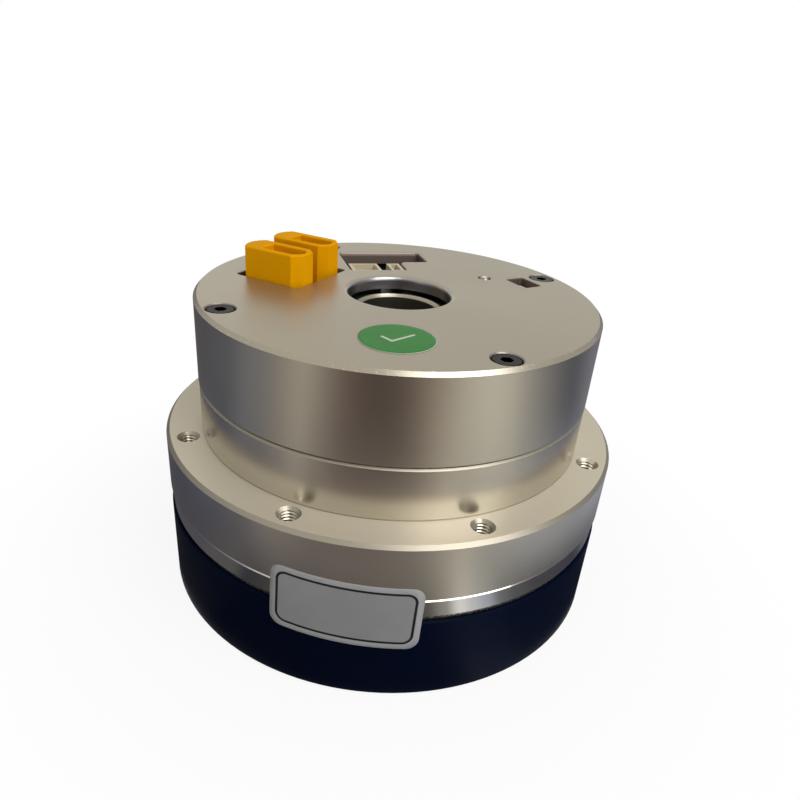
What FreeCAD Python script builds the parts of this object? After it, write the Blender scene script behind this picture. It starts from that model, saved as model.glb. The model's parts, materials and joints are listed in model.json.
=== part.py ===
# Hollow-shaft robot joint actuator, built around a silk-hat strain wave gear.
# The axis of the joint is Z. The black gear housing rests on z = 0 and the wiring
# cover is on top. All lengths are in millimetres and all angles in degrees.
import FreeCAD, Part
import math
import os
import re

import Sketcher
from FreeCAD import Placement, Rotation, Vector

UP = Vector(0, 0, 1)
ORIGIN = Vector(0, 0, 0)

# Driving dimensions: name, value, what it is.
SIZES = [
    ("flange_width", 5.25, "width of the flange outside the neck"),
    ("edge_chamfer", 0.5, "chamfer on the turned outer edges"),
    ("cover_chamfer", 0.5, "chamfer of the cover's outer edge"),
    ("rim_round", 0.7, "rounding of the rims of the cover's bore and slot"),
    ("small_rim_round", 0.3, "rounding of the rims of the cover's other openings"),
    ("seat_chamfer", 0.15, "chamfer of the cover's screw seats"),
    ("ring_chamfer", 0.3, "chamfer of the flexspline rim"),
    ("tube_chamfer", 0.4, "chamfer in the mouth of the centre tube"),
    ("fine_chamfer", 0.25, "small deburring chamfer"),
    ("seat_gap", 0.02, "radial clearance of a fixed fit"),
    ("run_gap", 0.08, "radial clearance inside a rolling bearing"),
    # gear housing and its fixings
    ("lip_reach", 2.5, "how far the housing lip reaches in below the bearing"),
    ("lip_height", 3.0, "thickness of the housing lip below the bearing"),
    ("screw_radius", 1.0, "shank of an M2 screw"),
    ("screw_head_radius", 1.9, "head of an M2 socket screw"),
    ("screw_head_height", 2.0, "height of that head"),
    ("screw_hex", 1.5, "hexagon socket across flats"),
    ("screw_hex_depth", 1.1, "depth of that socket"),
    ("low_head_height", 1.1, "height of a low M2 head"),
    ("low_head_radius", 1.75, "radius of that head"),
    ("head_clearance", 0.15, "radial room round a sunk screw head"),
    ("shank_clearance", 0.1, "radial room round a screw shank in a passing hole"),
    ("gear_screw_inset", 2.4, "housing screws from the outside of the body"),
    ("gear_screw_angle", -134.0, "angle of the first housing screw"),
    ("gear_screw_count", 8, "number of housing screws"),
    ("gear_screw_grip", 4.0, "length of those screws in the flange"),
    # cross-roller output bearing
    ("housing_wall", 4.0, "wall of the gear housing round the output bearing"),
    ("bearing_gap", 0.6, "gap between the two output bearing rings"),
    ("bearing_height", 8.0, "height of the output bearing rings"),
    ("roller_inset", 4.0, "roller circle from the outside of the bearing"),
    ("roller_radius", 1.5, "radius of a roller"),
    ("roller_length", 2.9, "length of a roller"),
    ("roller_count", 24, "number of rollers"),
    ("retainer_width", 3.0, "width of the bearing retaining ring"),
    ("retainer_height", 2.1, "height of the retaining ring"),
    ("retainer_room", 0.2, "room above the retaining ring"),
    ("notch_width", 2.4, "spanner notch in the retaining ring"),
    ("notch_depth", 1.0, "depth of that notch"),
    # output flange
    ("output_recess", 0.3, "how far the output face lies above the housing foot"),
    ("output_plate", 4.0, "thickness of the output plate"),
    ("seal_width", 2.55, "room for the shaft seal"),
    ("output_hole_circle", 16.0, "radius of the output bolt circle"),
    ("output_hole_radius", 1.25, "M3 tapping hole"),
    ("output_hole_depth", 3.4, "depth of the output bolt holes"),
    ("output_hole_count", 8, "number of output bolt holes"),
    ("seal_gap", 0.15, "room between the seal lip and the output plate"),
    ("seal_height", 2.3, "height of the shaft seal"),
    ("seal_rim", 0.8, "rim of the shaft seal"),
    ("seal_slope", 0.6, "slope from the seal's rim to its lip"),
    # strain wave gear
    ("spline_radius", 18.05, "root of the circular spline teeth"),
    ("spline_wall", 4.45, "wall of the circular spline outside its teeth"),
    ("spline_height", 6.5, "height of the circular spline"),
    ("spline_teeth", 202, "teeth of the circular spline"),
    ("flex_teeth", 200, "teeth of the flexspline"),
    ("tooth_height", 0.3, "height of a tooth"),
    ("tooth_gap", 0.05, "radial play at full mesh"),
    ("tooth_band", 6.0, "length of the flexspline teeth"),
    ("flex_wall", 0.28, "wall of the flexspline cup"),
    ("flex_disc", 0.5, "thickness of the flexspline disc"),
    ("ring_height", 3.5, "height of the flexspline's polished rim"),
    ("ring_step", 0.25, "how far the rim lies inside the flange"),
    ("ring_lip_height", 0.8, "height of the stepped lower lip of the rim"),
    ("ring_lip_step", 0.3, "how far that lip steps in"),
    ("disc_drop", 0.8, "disc below the top of the rim"),
    ("spline_screw_inset", 2.1, "spline screws from the outside of the circular spline"),
    ("spline_screw_count", 12, "number of those screws"),
    ("spline_screw_grip", 2.6, "length of those screws in the output plate"),
    ("flex_bearing_gap", 0.05, "room between the wave bearing and the flexspline"),
    ("wave_height", 4.6, "height of the wave bearing rings"),
    ("wave_ring_wall", 1.0, "wall of the wave bearing rings"),
    ("wave_ball_radius", 0.95, "radius of a wave bearing ball"),
    ("wave_ball_count", 23, "number of wave bearing balls"),
    ("wave_lift", 0.9, "wave bearing above the output plate"),
    ("plug_height", 5.0, "height of the wave generator plug"),
    ("plug_hole_radius", 0.9, "threaded hole in the plug"),
    ("plug_hole_inset", 2.2, "those holes from the bore of the plug"),
    # main housing
    ("flange_height", 8.6, "height of the mounting flange"),
    ("end_room", 2.0, "room for the windings between stator core and bracket"),
    ("motor_wall", 4.75, "wall of the neck outside the stator"),
    ("mount_inset", 3.0, "mounting holes from the outside of the flange"),
    ("mount_angle", -156.5, "angle of the first mounting hole"),
    ("mount_count", 8, "number of mounting holes"),
    ("mount_hole_radius", 1.25, "M3 tapping hole"),
    ("mount_hole_depth", 6.0, "depth of the mounting holes"),
    ("mount_sink_radius", 1.65, "mouth of the countersink"),
    ("web_height", 2.0, "thickness of the web below the motor"),
    ("bracket_seat_depth", 2.0, "bracket recess below the neck rim"),
    ("neck_lip", 1.37, "wall of the neck round the bracket"),
    # rotor
    ("shaft_wall", 1.9, "wall of the motor shaft in its bearings"),
    ("bearing_section", 3.0, "radial section of the motor bearings"),
    ("bearing_width", 4.0, "width of the motor bearings"),
    ("race_wall", 1.0, "wall of the bearing rings"),
    ("ball_radius", 0.9, "radius of a bearing ball"),
    ("ball_count", 11, "balls in each motor bearing"),
    ("boss_wall", 2.2, "wall round a motor bearing"),
    ("bearing_lip", 0.7, "inward lip that holds a bearing ring"),
    ("rear_lip_height", 0.6, "height of the lip in the bracket"),
    ("bearing_lip_height", 0.2, "front bearing above the foot of the flange"),
    ("shaft_room", 0.4, "room between the centre tube and the motor shaft"),
    ("shoulder_step", 0.8, "height of the shaft shoulders"),
    ("shaft_foot", 0.6, "lower end of the motor shaft above the output plate"),
    ("shaft_tail", 1.2, "shaft above the rear bearing"),
    ("hub_height", 2.0, "thickness of the rotor hub"),
    ("rotor_room", 0.8, "room between the bearing boss and the rotor ring"),
    ("rotor_ring_wall", 2.4, "wall of the rotor back iron"),
    ("magnet_wall", 1.8, "thickness of a magnet"),
    ("magnet_share", 0.86, "share of its pitch that a magnet covers"),
    ("magnet_count", 20, "number of magnets"),
    ("rotor_overhang", 0.3, "rotor ring beyond the stator core at each end"),
    # stator
    ("air_gap", 0.5, "air gap of the motor"),
    ("coil_room", 3.18, "radial depth of the stator slots"),
    ("stator_yoke", 1.2, "radial width of the stator yoke"),
    ("stator_shoe", 0.9, "radial height of the tooth shoes"),
    ("stator_tooth", 2.6, "width of a stator tooth"),
    ("slot_opening", 0.9, "gap between two tooth shoes"),
    ("stator_slots", 18, "number of stator slots"),
    ("stator_lift", 1.7, "stator core above the web"),
    ("stator_stack", 8.5, "height of the stator core"),
    ("coil_wall", 1.45, "thickness of a coil"),
    ("coil_gap", 0.06, "room between a coil and its tooth"),
    ("coil_end", 0.35, "radial room at both ends of a coil"),
    # rear cover
    ("gasket_height", 0.2, "gasket between neck and cover"),
    ("gasket_room", 0.1, "gap between the gasket and the parts beside it"),
    ("head_room", 0.1, "low screw heads below the bracket's face"),
    ("cover_overhang", 0.1, "how far the cover stands out past the neck"),
    ("cover_plate", 2.0, "thickness of the cover's end plate"),
    ("cover_wall", 1.6, "side wall of the cover"),
    ("cover_bore_room", 1.0, "room between the centre tube and the cover"),
    ("cover_screw_inset", 2.7, "cover screws from the outside of the neck"),
    ("cover_screw_angle", -150.2, "angle of the first cover screw"),
    ("cover_screw_count", 4, "number of cover screws"),
    ("cover_head_depth", 2.1, "depth of the cover's screw recesses"),
    ("cover_screw_grip", 4.0, "length of the cover screws in the neck"),
    ("cover_boss_radius", 2.4, "screw pillar inside the cover"),
    ("bracket_screw_inset", 3.55, "bracket screws from the outside of the neck"),
    ("bracket_screw_turn", 45.0, "bracket screws after the cover screws"),
    # centre tube
    ("tube_bore", 6.0, "bore of the centre tube"),
    ("tube_wall", 0.7, "wall of the centre tube"),
    ("tube_drop", 2.4, "top of the tube below the cover's face"),
    ("key_width", 1.8, "width of the lug on the tube's rim"),
    ("key_height_out", 0.7, "how far the lug stands out from the tube"),
    ("key_height", 0.6, "height of the lug"),
    ("key_angle", 80.0, "angle of the lug"),
    # boards
    ("board_thickness", 1.2, "thickness of the circuit boards"),
    ("board_clearance", 0.15, "room between the boards and the screw pillars"),
    ("board_bore_room", 0.7, "room between the centre tube and the boards"),
    ("board_room", 1.2, "room between the driver board and the cover plate"),
    ("board_gap", 2.7, "gap between the two boards"),
    ("post_inset", 2.2, "board pillars from the edge of the boards"),
    ("post_radius", 1.8, "radius of a board pillar"),
    ("post_first_angle", 60.0, "angle of the first board pillar"),
    ("post_step", -75.0, "angle from one pillar to the next"),
    ("post_count", 4, "number of board pillars"),
    ("encoder_ring_height", 0.8, "height of the magnetic encoder rings"),
    ("ring_lift", 0.15, "motor encoder ring above the rear bearing"),
    ("encoder_ring_width", 4.18, "radial width of the motor encoder ring"),
    ("output_ring_width", 4.48, "radial width of the output encoder ring"),
    ("sensor_height", 0.7, "height of a position sensor"),
    ("sensor_gap", 0.25, "air gap between a sensor and its ring"),
    # power connectors
    ("plug_angle", -26.5, "direction of the power connectors' long side"),
    ("plug_length", 9.5, "length of a power connector without its bowed end"),
    ("plug_width", 5.2, "width of a power connector"),
    ("plug_stand", 4.5, "height of the power connectors above the cover"),
    ("plug_pitch", 7.7, "distance between the two power connectors"),
    ("plug_along", -17.45, "middle of the pair along its long direction"),
    ("plug_across", -2.15, "middle of the pair across that direction"),
    ("plug_stagger", 0.45, "how far the back connector is set further out"),
    ("plug_end_bulge", 1.1, "rise of the bowed end"),
    ("plug_bevel", 1.25, "cut of the straight end's corners"),
    ("plug_edge", 0.25, "rounding of the connector's upper edges"),
    ("recess_length", 6.6, "length of the connector's recess"),
    ("recess_width", 3.1, "width of the connector's recess"),
    ("recess_shift", 0.75, "recess towards the straight end"),
    ("recess_bow", 1.45, "length of the oval end of the recess"),
    ("recess_floor", 1.0, "floor below the recess"),
    ("pin_radius", 0.8, "radius of a power contact"),
    ("pin_pitch", 3.6, "distance between the two contacts"),
    ("pin_drop", 2.0, "contacts below the connector's mouth"),
    ("cutout_room", 0.15, "room along the connectors' sides"),
    ("cutout_end_room", 0.2, "room at the connectors' ends"),
    # signal connectors and their slot
    ("slot_angle", 16.5, "direction of the signal slot"),
    ("slot_left", -4.8, "left end of the slot"),
    ("slot_right", 9.4, "right end of the slot"),
    ("slot_step", 4.4, "right end of the slot's near part"),
    ("slot_near", 11.8, "near side of the slot"),
    ("slot_middle", 16.6, "near side of the slot's wide part"),
    ("slot_far", 22.3, "far side of the slot"),
    ("slot_round", 0.5, "corner radius of the cut-outs"),
    ("step_round", 1.0, "radius of the corner that stands into the slot"),
    ("wide_left", -4.55, "left side of the wide signal connector"),
    ("wide_right", 0.35, "right side of the wide signal connector"),
    ("narrow_left", 2.05, "left side of the narrow signal connector"),
    ("narrow_right", 4.2, "right side of the narrow signal connector"),
    ("signal_depth", 4.3, "depth of the signal connectors"),
    ("signal_drop", 0.3, "signal connectors below the cover's face"),
    ("signal_wall", 0.5, "wall of the signal connectors"),
    # service opening and status light
    ("service_x", 19.98, "middle of the service opening"),
    ("service_y", 10.1, "middle of the service opening"),
    ("service_angle", -57.0, "direction of its long side"),
    ("service_length", 4.9, "length of the service opening"),
    ("service_width", 3.4, "width of the service opening"),
    ("service_room", 0.45, "room round the service header"),
    ("service_drop", 1.2, "service header below the cover's face"),
    ("service_wall", 0.5, "wall of the service header"),
    ("light_x", 13.7, "place of the status light"),
    ("light_y", 11.0, "place of the status light"),
    ("light_radius", 1.0, "radius of the status light opening"),
    ("light_room", 0.12, "room round the status light"),
    ("light_stand", 0.25, "status light above the cover"),
    # motor leads
    ("lead_radius", 0.6, "radius of a motor lead"),
    ("lead_inset", 3.4, "motor leads from the outside of the stator"),
    ("lead_first_angle", 10.0, "angle of the first motor lead"),
    ("lead_step", 10.0, "angle from one lead to the next"),
]

# Levels that follow from the driving dimensions.
LEVELS = [
    ("tube_outer", "tube_bore + tube_wall"),
    ("shaft_bore", "tube_outer + shaft_room"),
    ("bearing_bore", "shaft_bore + shaft_wall"),
    ("shaft_shoulder", "bearing_bore + shoulder_step"),
    ("bearing_race", "bearing_bore + bearing_section"),
    ("rotor_ring_inner", "bearing_race + boss_wall + rotor_room"),
    ("rotor_ring_outer", "rotor_ring_inner + rotor_ring_wall"),
    ("magnet_outer", "rotor_ring_outer + seat_gap + magnet_wall"),
    ("stator_inner", "magnet_outer + air_gap"),
    ("stator_outer", "stator_inner + stator_shoe + coil_room + stator_yoke"),
    ("neck_radius", "stator_outer + motor_wall"),
    ("cover_radius", "neck_radius + cover_overhang"),
    ("body_radius", "neck_radius + flange_width"),
    ("mount_circle", "body_radius - mount_inset"),
    ("ring_radius", "body_radius - ring_step"),
    ("gear_screw_circle", "body_radius - gear_screw_inset"),
    ("bearing_outer", "body_radius - housing_wall"),
    ("lip_radius", "bearing_outer - lip_reach"),
    ("roller_circle", "bearing_outer - roller_inset"),
    ("output_step_radius", "lip_radius - seal_width"),
    ("spline_outer", "spline_radius + spline_wall"),
    ("spline_screw_circle", "spline_outer - spline_screw_inset"),
    ("bracket_radius", "neck_radius - neck_lip"),
    ("cover_screw_circle", "neck_radius - cover_screw_inset"),
    ("bracket_screw_circle", "neck_radius - bracket_screw_inset"),
    ("cover_bore", "tube_outer + cover_bore_room"),
    ("key_reach", "tube_outer + key_height_out"),
    ("board_bore", "tube_outer + board_bore_room"),
    ("board_radius", "cover_screw_circle - cover_boss_radius - board_clearance"),
    ("post_circle", "board_radius - post_inset"),
    ("encoder_ring_outer", "bearing_bore + seat_gap + encoder_ring_width"),
    ("output_ring_outer", "tube_outer + seat_gap + output_ring_width"),
    ("plug_hole_circle", "bearing_bore + plug_hole_inset"),
    ("lead_circle", "stator_outer - lead_inset"),
    ("bearing_base", "lip_height"),
    ("bearing_middle", "bearing_base + bearing_height / 2"),
    ("bearing_top", "bearing_base + bearing_height"),
    ("gear_height", "bearing_top + retainer_height + retainer_room"),
    ("rim_base", "gear_height"),
    ("flange_base", "gear_height + ring_height"),
    ("flange_top", "flange_base + flange_height"),
    ("web_top", "flange_base + web_height"),
    ("stator_base", "web_top + stator_lift"),
    ("stator_top", "stator_base + stator_stack"),
    ("bracket_base", "stator_top + end_room"),
    ("neck_top", "bracket_base + bracket_seat_depth"),
    ("cover_base", "neck_top + gasket_height"),
    ("seat_radius", "bearing_outer + seat_gap"),
    ("outer_ring_inner", "roller_circle + bearing_gap / 2"),
    ("inner_ring_outer", "roller_circle - bearing_gap / 2"),
    ("groove_reach", "(roller_radius + run_gap) * 1.41421356"),
    ("outer_apex", "roller_circle + groove_reach"),
    ("inner_apex", "roller_circle - groove_reach"),
    ("groove_half", "groove_reach - bearing_gap / 2"),
    ("plate_top", "output_recess + output_plate"),
    ("shaft_start", "plate_top + shaft_foot"),
    ("disc_top", "flange_base - disc_drop"),
    ("disc_base", "disc_top - flex_disc"),
    ("front_bearing_base", "flange_base + bearing_lip_height - bearing_width"),
    ("front_bearing_top", "front_bearing_base + bearing_width"),
    ("rear_bearing_base", "bracket_base + rear_lip_height"),
    ("rear_bearing_top", "rear_bearing_base + bearing_width"),
    ("shaft_top", "rear_bearing_top + shaft_tail"),
    ("race_seat", "bearing_race + seat_gap"),
    ("motor_ring_base", "rear_bearing_top + ring_lift"),
    ("encoder_base", "motor_ring_base + encoder_ring_height + sensor_gap + sensor_height"),
    ("encoder_top", "encoder_base + board_thickness"),
    ("driver_base", "encoder_top + board_gap"),
    ("driver_top", "driver_base + board_thickness"),
    ("plate_base", "driver_top + board_room"),
    ("cover_top", "plate_base + cover_plate"),
    ("cover_height", "cover_top - cover_base"),
    ("cover_inner", "cover_radius - cover_wall"),
    ("tube_top", "cover_top - tube_drop"),
    ("plug_top", "cover_top + plug_stand"),
]

NAMES = [name for name, value, note in SIZES] + [name for name, formula in LEVELS]


def make_sheet(doc):
    """Fill the spreadsheet with the driving dimensions and the levels."""
    sheet = doc.addObject("Spreadsheet::Sheet", "Sizes")
    for row, (name, value, note) in enumerate(SIZES, start=1):
        sheet.set("A%d" % row, name)
        sheet.set("B%d" % row, str(value))
        sheet.set("C%d" % row, note)
        sheet.setAlias("B%d" % row, name)
    for row, (name, formula) in enumerate(LEVELS, start=len(SIZES) + 2):
        sheet.set("A%d" % row, name)
        sheet.set("B%d" % row, "=" + formula)
        sheet.setAlias("B%d" % row, name)
    doc.recompute()
    return sheet


doc = FreeCAD.newDocument("robot_joint_actuator")
sheet = make_sheet(doc)


class Sizes:
    """Plain numbers read from the sheet, for the shapes that are worked out here."""


size = Sizes()
for name in NAMES:
    setattr(size, name, float(sheet.get(name)))

nodes = []


def bound(formula):
    """Turn a formula of size names into one that reads the sheet."""

    def with_sheet(found):
        word = found.group(0)
        return "Sizes." + word if word in NAMES else word

    return re.sub(r"[a-z_]+", with_sheet, formula)


def number(formula):
    """Work out a formula of size names."""
    if isinstance(formula, (int, float)):
        return float(formula)
    total = sheet.evalExpression(bound(formula))
    return float(getattr(total, "Value", total))


def body_plane(body, role):
    """The origin plane of a body that plays the given role."""
    return [feature for feature in body.Origin.OriginFeatures if feature.Role == role][0]


def new_body(label):
    """A body whose label names its file."""
    body = doc.addObject("PartDesign::Body", label)
    body.Label = label
    nodes.append(body)
    return body


def new_sketch(body, name, role, height=None, turn=None):
    """A sketch on an origin plane, lifted and turned by formulas of size names."""
    sketch = body.newObject("Sketcher::SketchObject", name)
    sketch.AttachmentSupport = [(body_plane(body, role), "")]
    sketch.MapMode = "FlatFace"
    if height is not None:
        sketch.setExpression("AttachmentOffset.Base.z", bound(height))
    if turn is not None:
        sketch.AttachmentOffset = Placement(sketch.AttachmentOffset.Base, Rotation(UP, 1))
        sketch.setExpression("AttachmentOffset.Rotation.Angle", bound(turn))
    return sketch


def pin_point(sketch, index, end, across, along):
    """Hold a point of the sketch at two formulas of size names."""
    for kind, axis, formula in (("DistanceX", -2, across), ("DistanceY", -1, along)):
        value = number(formula)
        if abs(value) < 1e-9:
            sketch.addConstraint(Sketcher.Constraint("PointOnObject", index, end, axis))
            continue
        row = sketch.addConstraint(Sketcher.Constraint(kind, -1, 1, index, end, value))
        if isinstance(formula, str):
            sketch.setExpression("Constraints[%d]" % row, bound(formula))


def draw_outline(sketch, points):
    """Draw a closed outline of straight lines through points given as formulas."""
    places = [Vector(number(across), number(along), 0) for across, along in points]
    count = len(places)
    for index in range(count):
        line = Part.LineSegment(places[index], places[(index + 1) % count])
        sketch.addGeometry(line, False)
    for index in range(count):
        following = (index + 1) % count
        sketch.addConstraint(Sketcher.Constraint("Coincident", index, 2, following, 1))
    for index, (across, along) in enumerate(points):
        pin_point(sketch, index, 1, across, along)


def turned(body, name, points, kind="PartDesign::Revolution"):
    """Turn an outline of (radius, height) formulas about the joint axis."""
    sketch = new_sketch(body, name + "_outline", "XZ_Plane")
    draw_outline(sketch, points)
    feature = body.newObject(kind, name)
    feature.Profile = sketch
    feature.ReferenceAxis = (sketch, ["V_Axis"])
    feature.Angle = 360
    doc.recompute()
    return feature


def turned_body(label, points):
    """A body that is one turned outline."""
    body = new_body(label)
    turned(body, label + "_turning", points)
    return body


def repeat(body, name, features, count, sketch):
    """Repeat features round the joint axis."""
    pattern = body.newObject("PartDesign::PolarPattern", name)
    pattern.Originals = features
    pattern.Axis = (sketch, ["N_Axis"])
    pattern.Angle = 360
    pattern.setExpression("Occurrences", bound(count))
    body.Tip = pattern
    doc.recompute()
    return pattern


def checked_cut(body, name, sketch, depth, down):
    """Cut a sketch to a depth and make sure that material was removed."""
    before = body.Shape.Volume
    pocket = body.newObject("PartDesign::Pocket", name)
    pocket.Profile = sketch
    pocket.setExpression("Length", bound(depth))
    pocket.Reversed = not down
    doc.recompute()
    if body.Shape.Volume >= before - 1e-6:
        raise RuntimeError("nothing was cut by " + name)
    return pocket


def drill(body, name, height, place, radius, depth, turn=None, count=None, down=True):
    """Bore a round hole, or a ring of them when a count is given."""
    sketch = new_sketch(body, name + "_place", "XY_Plane", height, turn)
    centre = Vector(number(place[0]), number(place[1]), 0)
    sketch.addGeometry(Part.Circle(centre, UP, number(radius)), False)
    pin_point(sketch, 0, 3, place[0], place[1])
    row = sketch.addConstraint(Sketcher.Constraint("Radius", 0, number(radius)))
    sketch.setExpression("Constraints[%d]" % row, bound(radius))
    pocket = checked_cut(body, name, sketch, depth, down)
    if count is not None:
        repeat(body, name + "_ring", [pocket], count, sketch)
    return pocket


def cut_outline(body, name, height, points, depth, turn=None, count=None, down=True):
    """Cut a straight-sided opening, or a ring of them when a count is given."""
    sketch = new_sketch(body, name + "_place", "XY_Plane", height, turn)
    draw_outline(sketch, points)
    pocket = checked_cut(body, name, sketch, depth, down)
    if count is not None:
        repeat(body, name + "_ring", [pocket], count, sketch)
    return pocket


def raise_outline(body, name, height, points, length, turn=None, count=None):
    """Raise a straight-sided pad, or a ring of them when a count is given."""
    sketch = new_sketch(body, name + "_place", "XY_Plane", height, turn)
    draw_outline(sketch, points)
    pad = body.newObject("PartDesign::Pad", name)
    pad.Profile = sketch
    pad.setExpression("Length", bound(length))
    doc.recompute()
    if count is not None:
        repeat(body, name + "_ring", [pad], count, sketch)
    return pad


def box_points(left, right, near, far):
    """The four corners of an upright rectangle."""
    return [(left, near), (right, near), (right, far), (left, far)]


def upright_edges(body, points, turn):
    """Names of the body's upright edges that stand on the given points."""
    angle = math.radians(number(turn))
    places = []
    for across, along in points:
        x, y = number(across), number(along)
        places.append((x * math.cos(angle) - y * math.sin(angle), x * math.sin(angle) + y * math.cos(angle)))
    names = []
    for index, edge in enumerate(body.Shape.Edges, start=1):
        first, last = edge.Vertexes[0].Point, edge.Vertexes[-1].Point
        if math.hypot(first.x - last.x, first.y - last.y) > 1e-4 or abs(first.z - last.z) < 1e-4:
            continue
        if any(math.hypot(first.x - x, first.y - y) < 1e-3 for x, y in places):
            names.append("Edge%d" % index)
    return names


def round_corners(body, name, base, points, turn, radius):
    """Round the upright corners of an opening or a block."""
    fillet = body.newObject("PartDesign::Fillet", name)
    fillet.Base = (base, upright_edges(body, points, turn))
    fillet.setExpression("Radius", bound(radius))
    body.Tip = fillet
    doc.recompute()
    return fillet


def rim_of(points, turn):
    """A test for places on or inside the rectangle round an opening."""
    angle = math.radians(number(turn))
    across = [number(point[0]) for point in points]
    along = [number(point[1]) for point in points]

    def inside(x, y):
        u = x * math.cos(angle) + y * math.sin(angle)
        v = y * math.cos(angle) - x * math.sin(angle)
        room = size.seat_gap
        return (min(across) - room < u < max(across) + room
                and min(along) - room < v < max(along) + room)

    return inside


def round_rims(body, name, height, radius, wanted):
    """Round the edges at a height whose middles pass the test."""
    level, names = number(height), []
    for index, edge in enumerate(body.Shape.Edges, start=1):
        middle = edge.valueAt((edge.FirstParameter + edge.LastParameter) / 2)
        ends = [vertex.Point.z for vertex in edge.Vertexes] + [middle.z]
        if all(abs(z - level) < 1e-4 for z in ends) and wanted(middle.x, middle.y):
            names.append("Edge%d" % index)
    base = body.Tip
    fillet = body.newObject("PartDesign::Fillet", name)
    fillet.Base = (base, names)
    fillet.setExpression("Radius", bound(radius))
    body.Tip = fillet
    doc.recompute()
    return fillet


def primitive(kind, name, sizes, height=None):
    """A Part primitive whose sizes and height are bound to the sheet."""
    shape = doc.addObject(kind, name)
    for field, formula in sizes.items():
        shape.setExpression(field, bound(formula))
    if height is not None:
        shape.setExpression("Placement.Base.z", bound(height))
    return shape


def plain_ring(label, outer, inner, base, height, groove=None):
    """A ring of rectangular section, with a ball groove when one is given."""
    body = primitive("Part::Cylinder", label + "_outside", {"Radius": outer, "Height": height}, base)
    bore = primitive("Part::Cylinder", label + "_bore", {"Radius": inner, "Height": height}, base)
    ring = doc.addObject("Part::Cut", label + "_ring" if groove else label)
    ring.Base = body
    ring.Tool = bore
    if groove:
        circle, radius = groove
        middle = "%s + (%s) / 2" % (base, height)
        channel = primitive("Part::Torus", label + "_groove", {"Radius1": circle, "Radius2": radius}, middle)
        blank, ring = ring, doc.addObject("Part::Cut", label)
        ring.Base = blank
        ring.Tool = channel
    ring.Label = label
    nodes.append(ring)
    return ring


def plain_node(label, shape):
    """A node whose shape is worked out with Part's own functions."""
    feature = doc.addObject("Part::Feature", label)
    feature.Shape = shape
    feature.Label = label
    nodes.append(feature)
    return feature


def group(label, shapes):
    """A node that is a group of separate solids."""
    return plain_node(label, Part.makeCompound(shapes))


def polar(radius, angle, height=0.0):
    """A point from its radius, its angle in degrees and its height."""
    turn = math.radians(angle)
    return Vector(radius * math.cos(turn), radius * math.sin(turn), height)


def ring_of(shape, first_angle, count):
    """Copies of a shape turned round the joint axis."""
    copies = []
    for index in range(int(count)):
        copy = shape.copy()
        copy.rotate(ORIGIN, UP, first_angle + 360.0 * index / int(count))
        copies.append(copy)
    return copies


def socket_screw(head_radius, head_height, shank_length, shank_radius, place, up=True):
    """A hexagon socket screw. Its head starts at the place and its shank runs away."""
    head = Part.makeCylinder(head_radius, head_height)
    head = head.makeChamfer(0.15, [head.Edges[0]])
    corners = [polar(size.screw_hex / math.sqrt(3), 60 * turn, head_height) for turn in range(7)]
    hexagon = Part.Face(Part.makePolygon(corners)).extrude(Vector(0, 0, -size.screw_hex_depth))
    shank = Part.makeCylinder(shank_radius, shank_length, ORIGIN, Vector(0, 0, -1))
    screw = head.cut(hexagon).fuse(shank).removeSplitter()
    if not up:
        screw.rotate(ORIGIN, Vector(1, 0, 0), 180)
    screw.translate(place)
    return screw


def cone_mouths(body, name, height, place, turn, rim, throat, count):
    """Countersink a ring of drilled holes from above."""
    sink = body.newObject("PartDesign::SubtractiveCone", name)
    sink.AttachmentSupport = [(body_plane(body, "XY_Plane"), "")]
    sink.MapMode = "FlatFace"
    depth = "(%s) - (%s)" % (rim, throat)
    sink.setExpression("Radius1", bound(throat))
    sink.setExpression("Radius2", bound(rim))
    sink.setExpression("Height", bound(depth))
    sink.setExpression("AttachmentOffset.Base.x", bound("%s * cos(%s)" % (place, turn)))
    sink.setExpression("AttachmentOffset.Base.y", bound("%s * sin(%s)" % (place, turn)))
    sink.setExpression("AttachmentOffset.Base.z", bound("%s - (%s)" % (height, depth)))
    doc.recompute()
    axis = new_sketch(body, name + "_axis", "XY_Plane")
    repeat(body, name + "_ring", [sink], count, axis)


# Black gear housing: it carries the output bearing and is the part's foot.
def make_gear_housing():
    housing = turned_body("gear_housing", [
        ("lip_radius", "0"),
        ("body_radius - edge_chamfer", "0"),
        ("body_radius", "edge_chamfer"),
        ("body_radius", "gear_height - fine_chamfer"),
        ("body_radius - fine_chamfer", "gear_height"),
        ("seat_radius", "gear_height"),
        ("seat_radius", "lip_height"),
        ("lip_radius", "lip_height"),
    ])
    place = ("gear_screw_circle", "0")
    drill(housing, "housing_head_seats", "0", place, "screw_head_radius + head_clearance",
          "screw_head_height + output_recess", "gear_screw_angle", "gear_screw_count", down=False)
    drill(housing, "housing_screw_holes", "0", place, "screw_radius + shank_clearance",
          "gear_height", "gear_screw_angle", "gear_screw_count", down=False)


def make_gear_screws():
    length = size.flange_base + size.gear_screw_grip - size.output_recess - size.screw_head_height
    head = polar(size.gear_screw_circle, 0, size.output_recess + size.screw_head_height)
    screw = socket_screw(size.screw_head_radius, size.screw_head_height, length,
                         size.screw_radius, head, up=False)
    group("gear_screws", ring_of(screw, size.gear_screw_angle, size.gear_screw_count))


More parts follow.
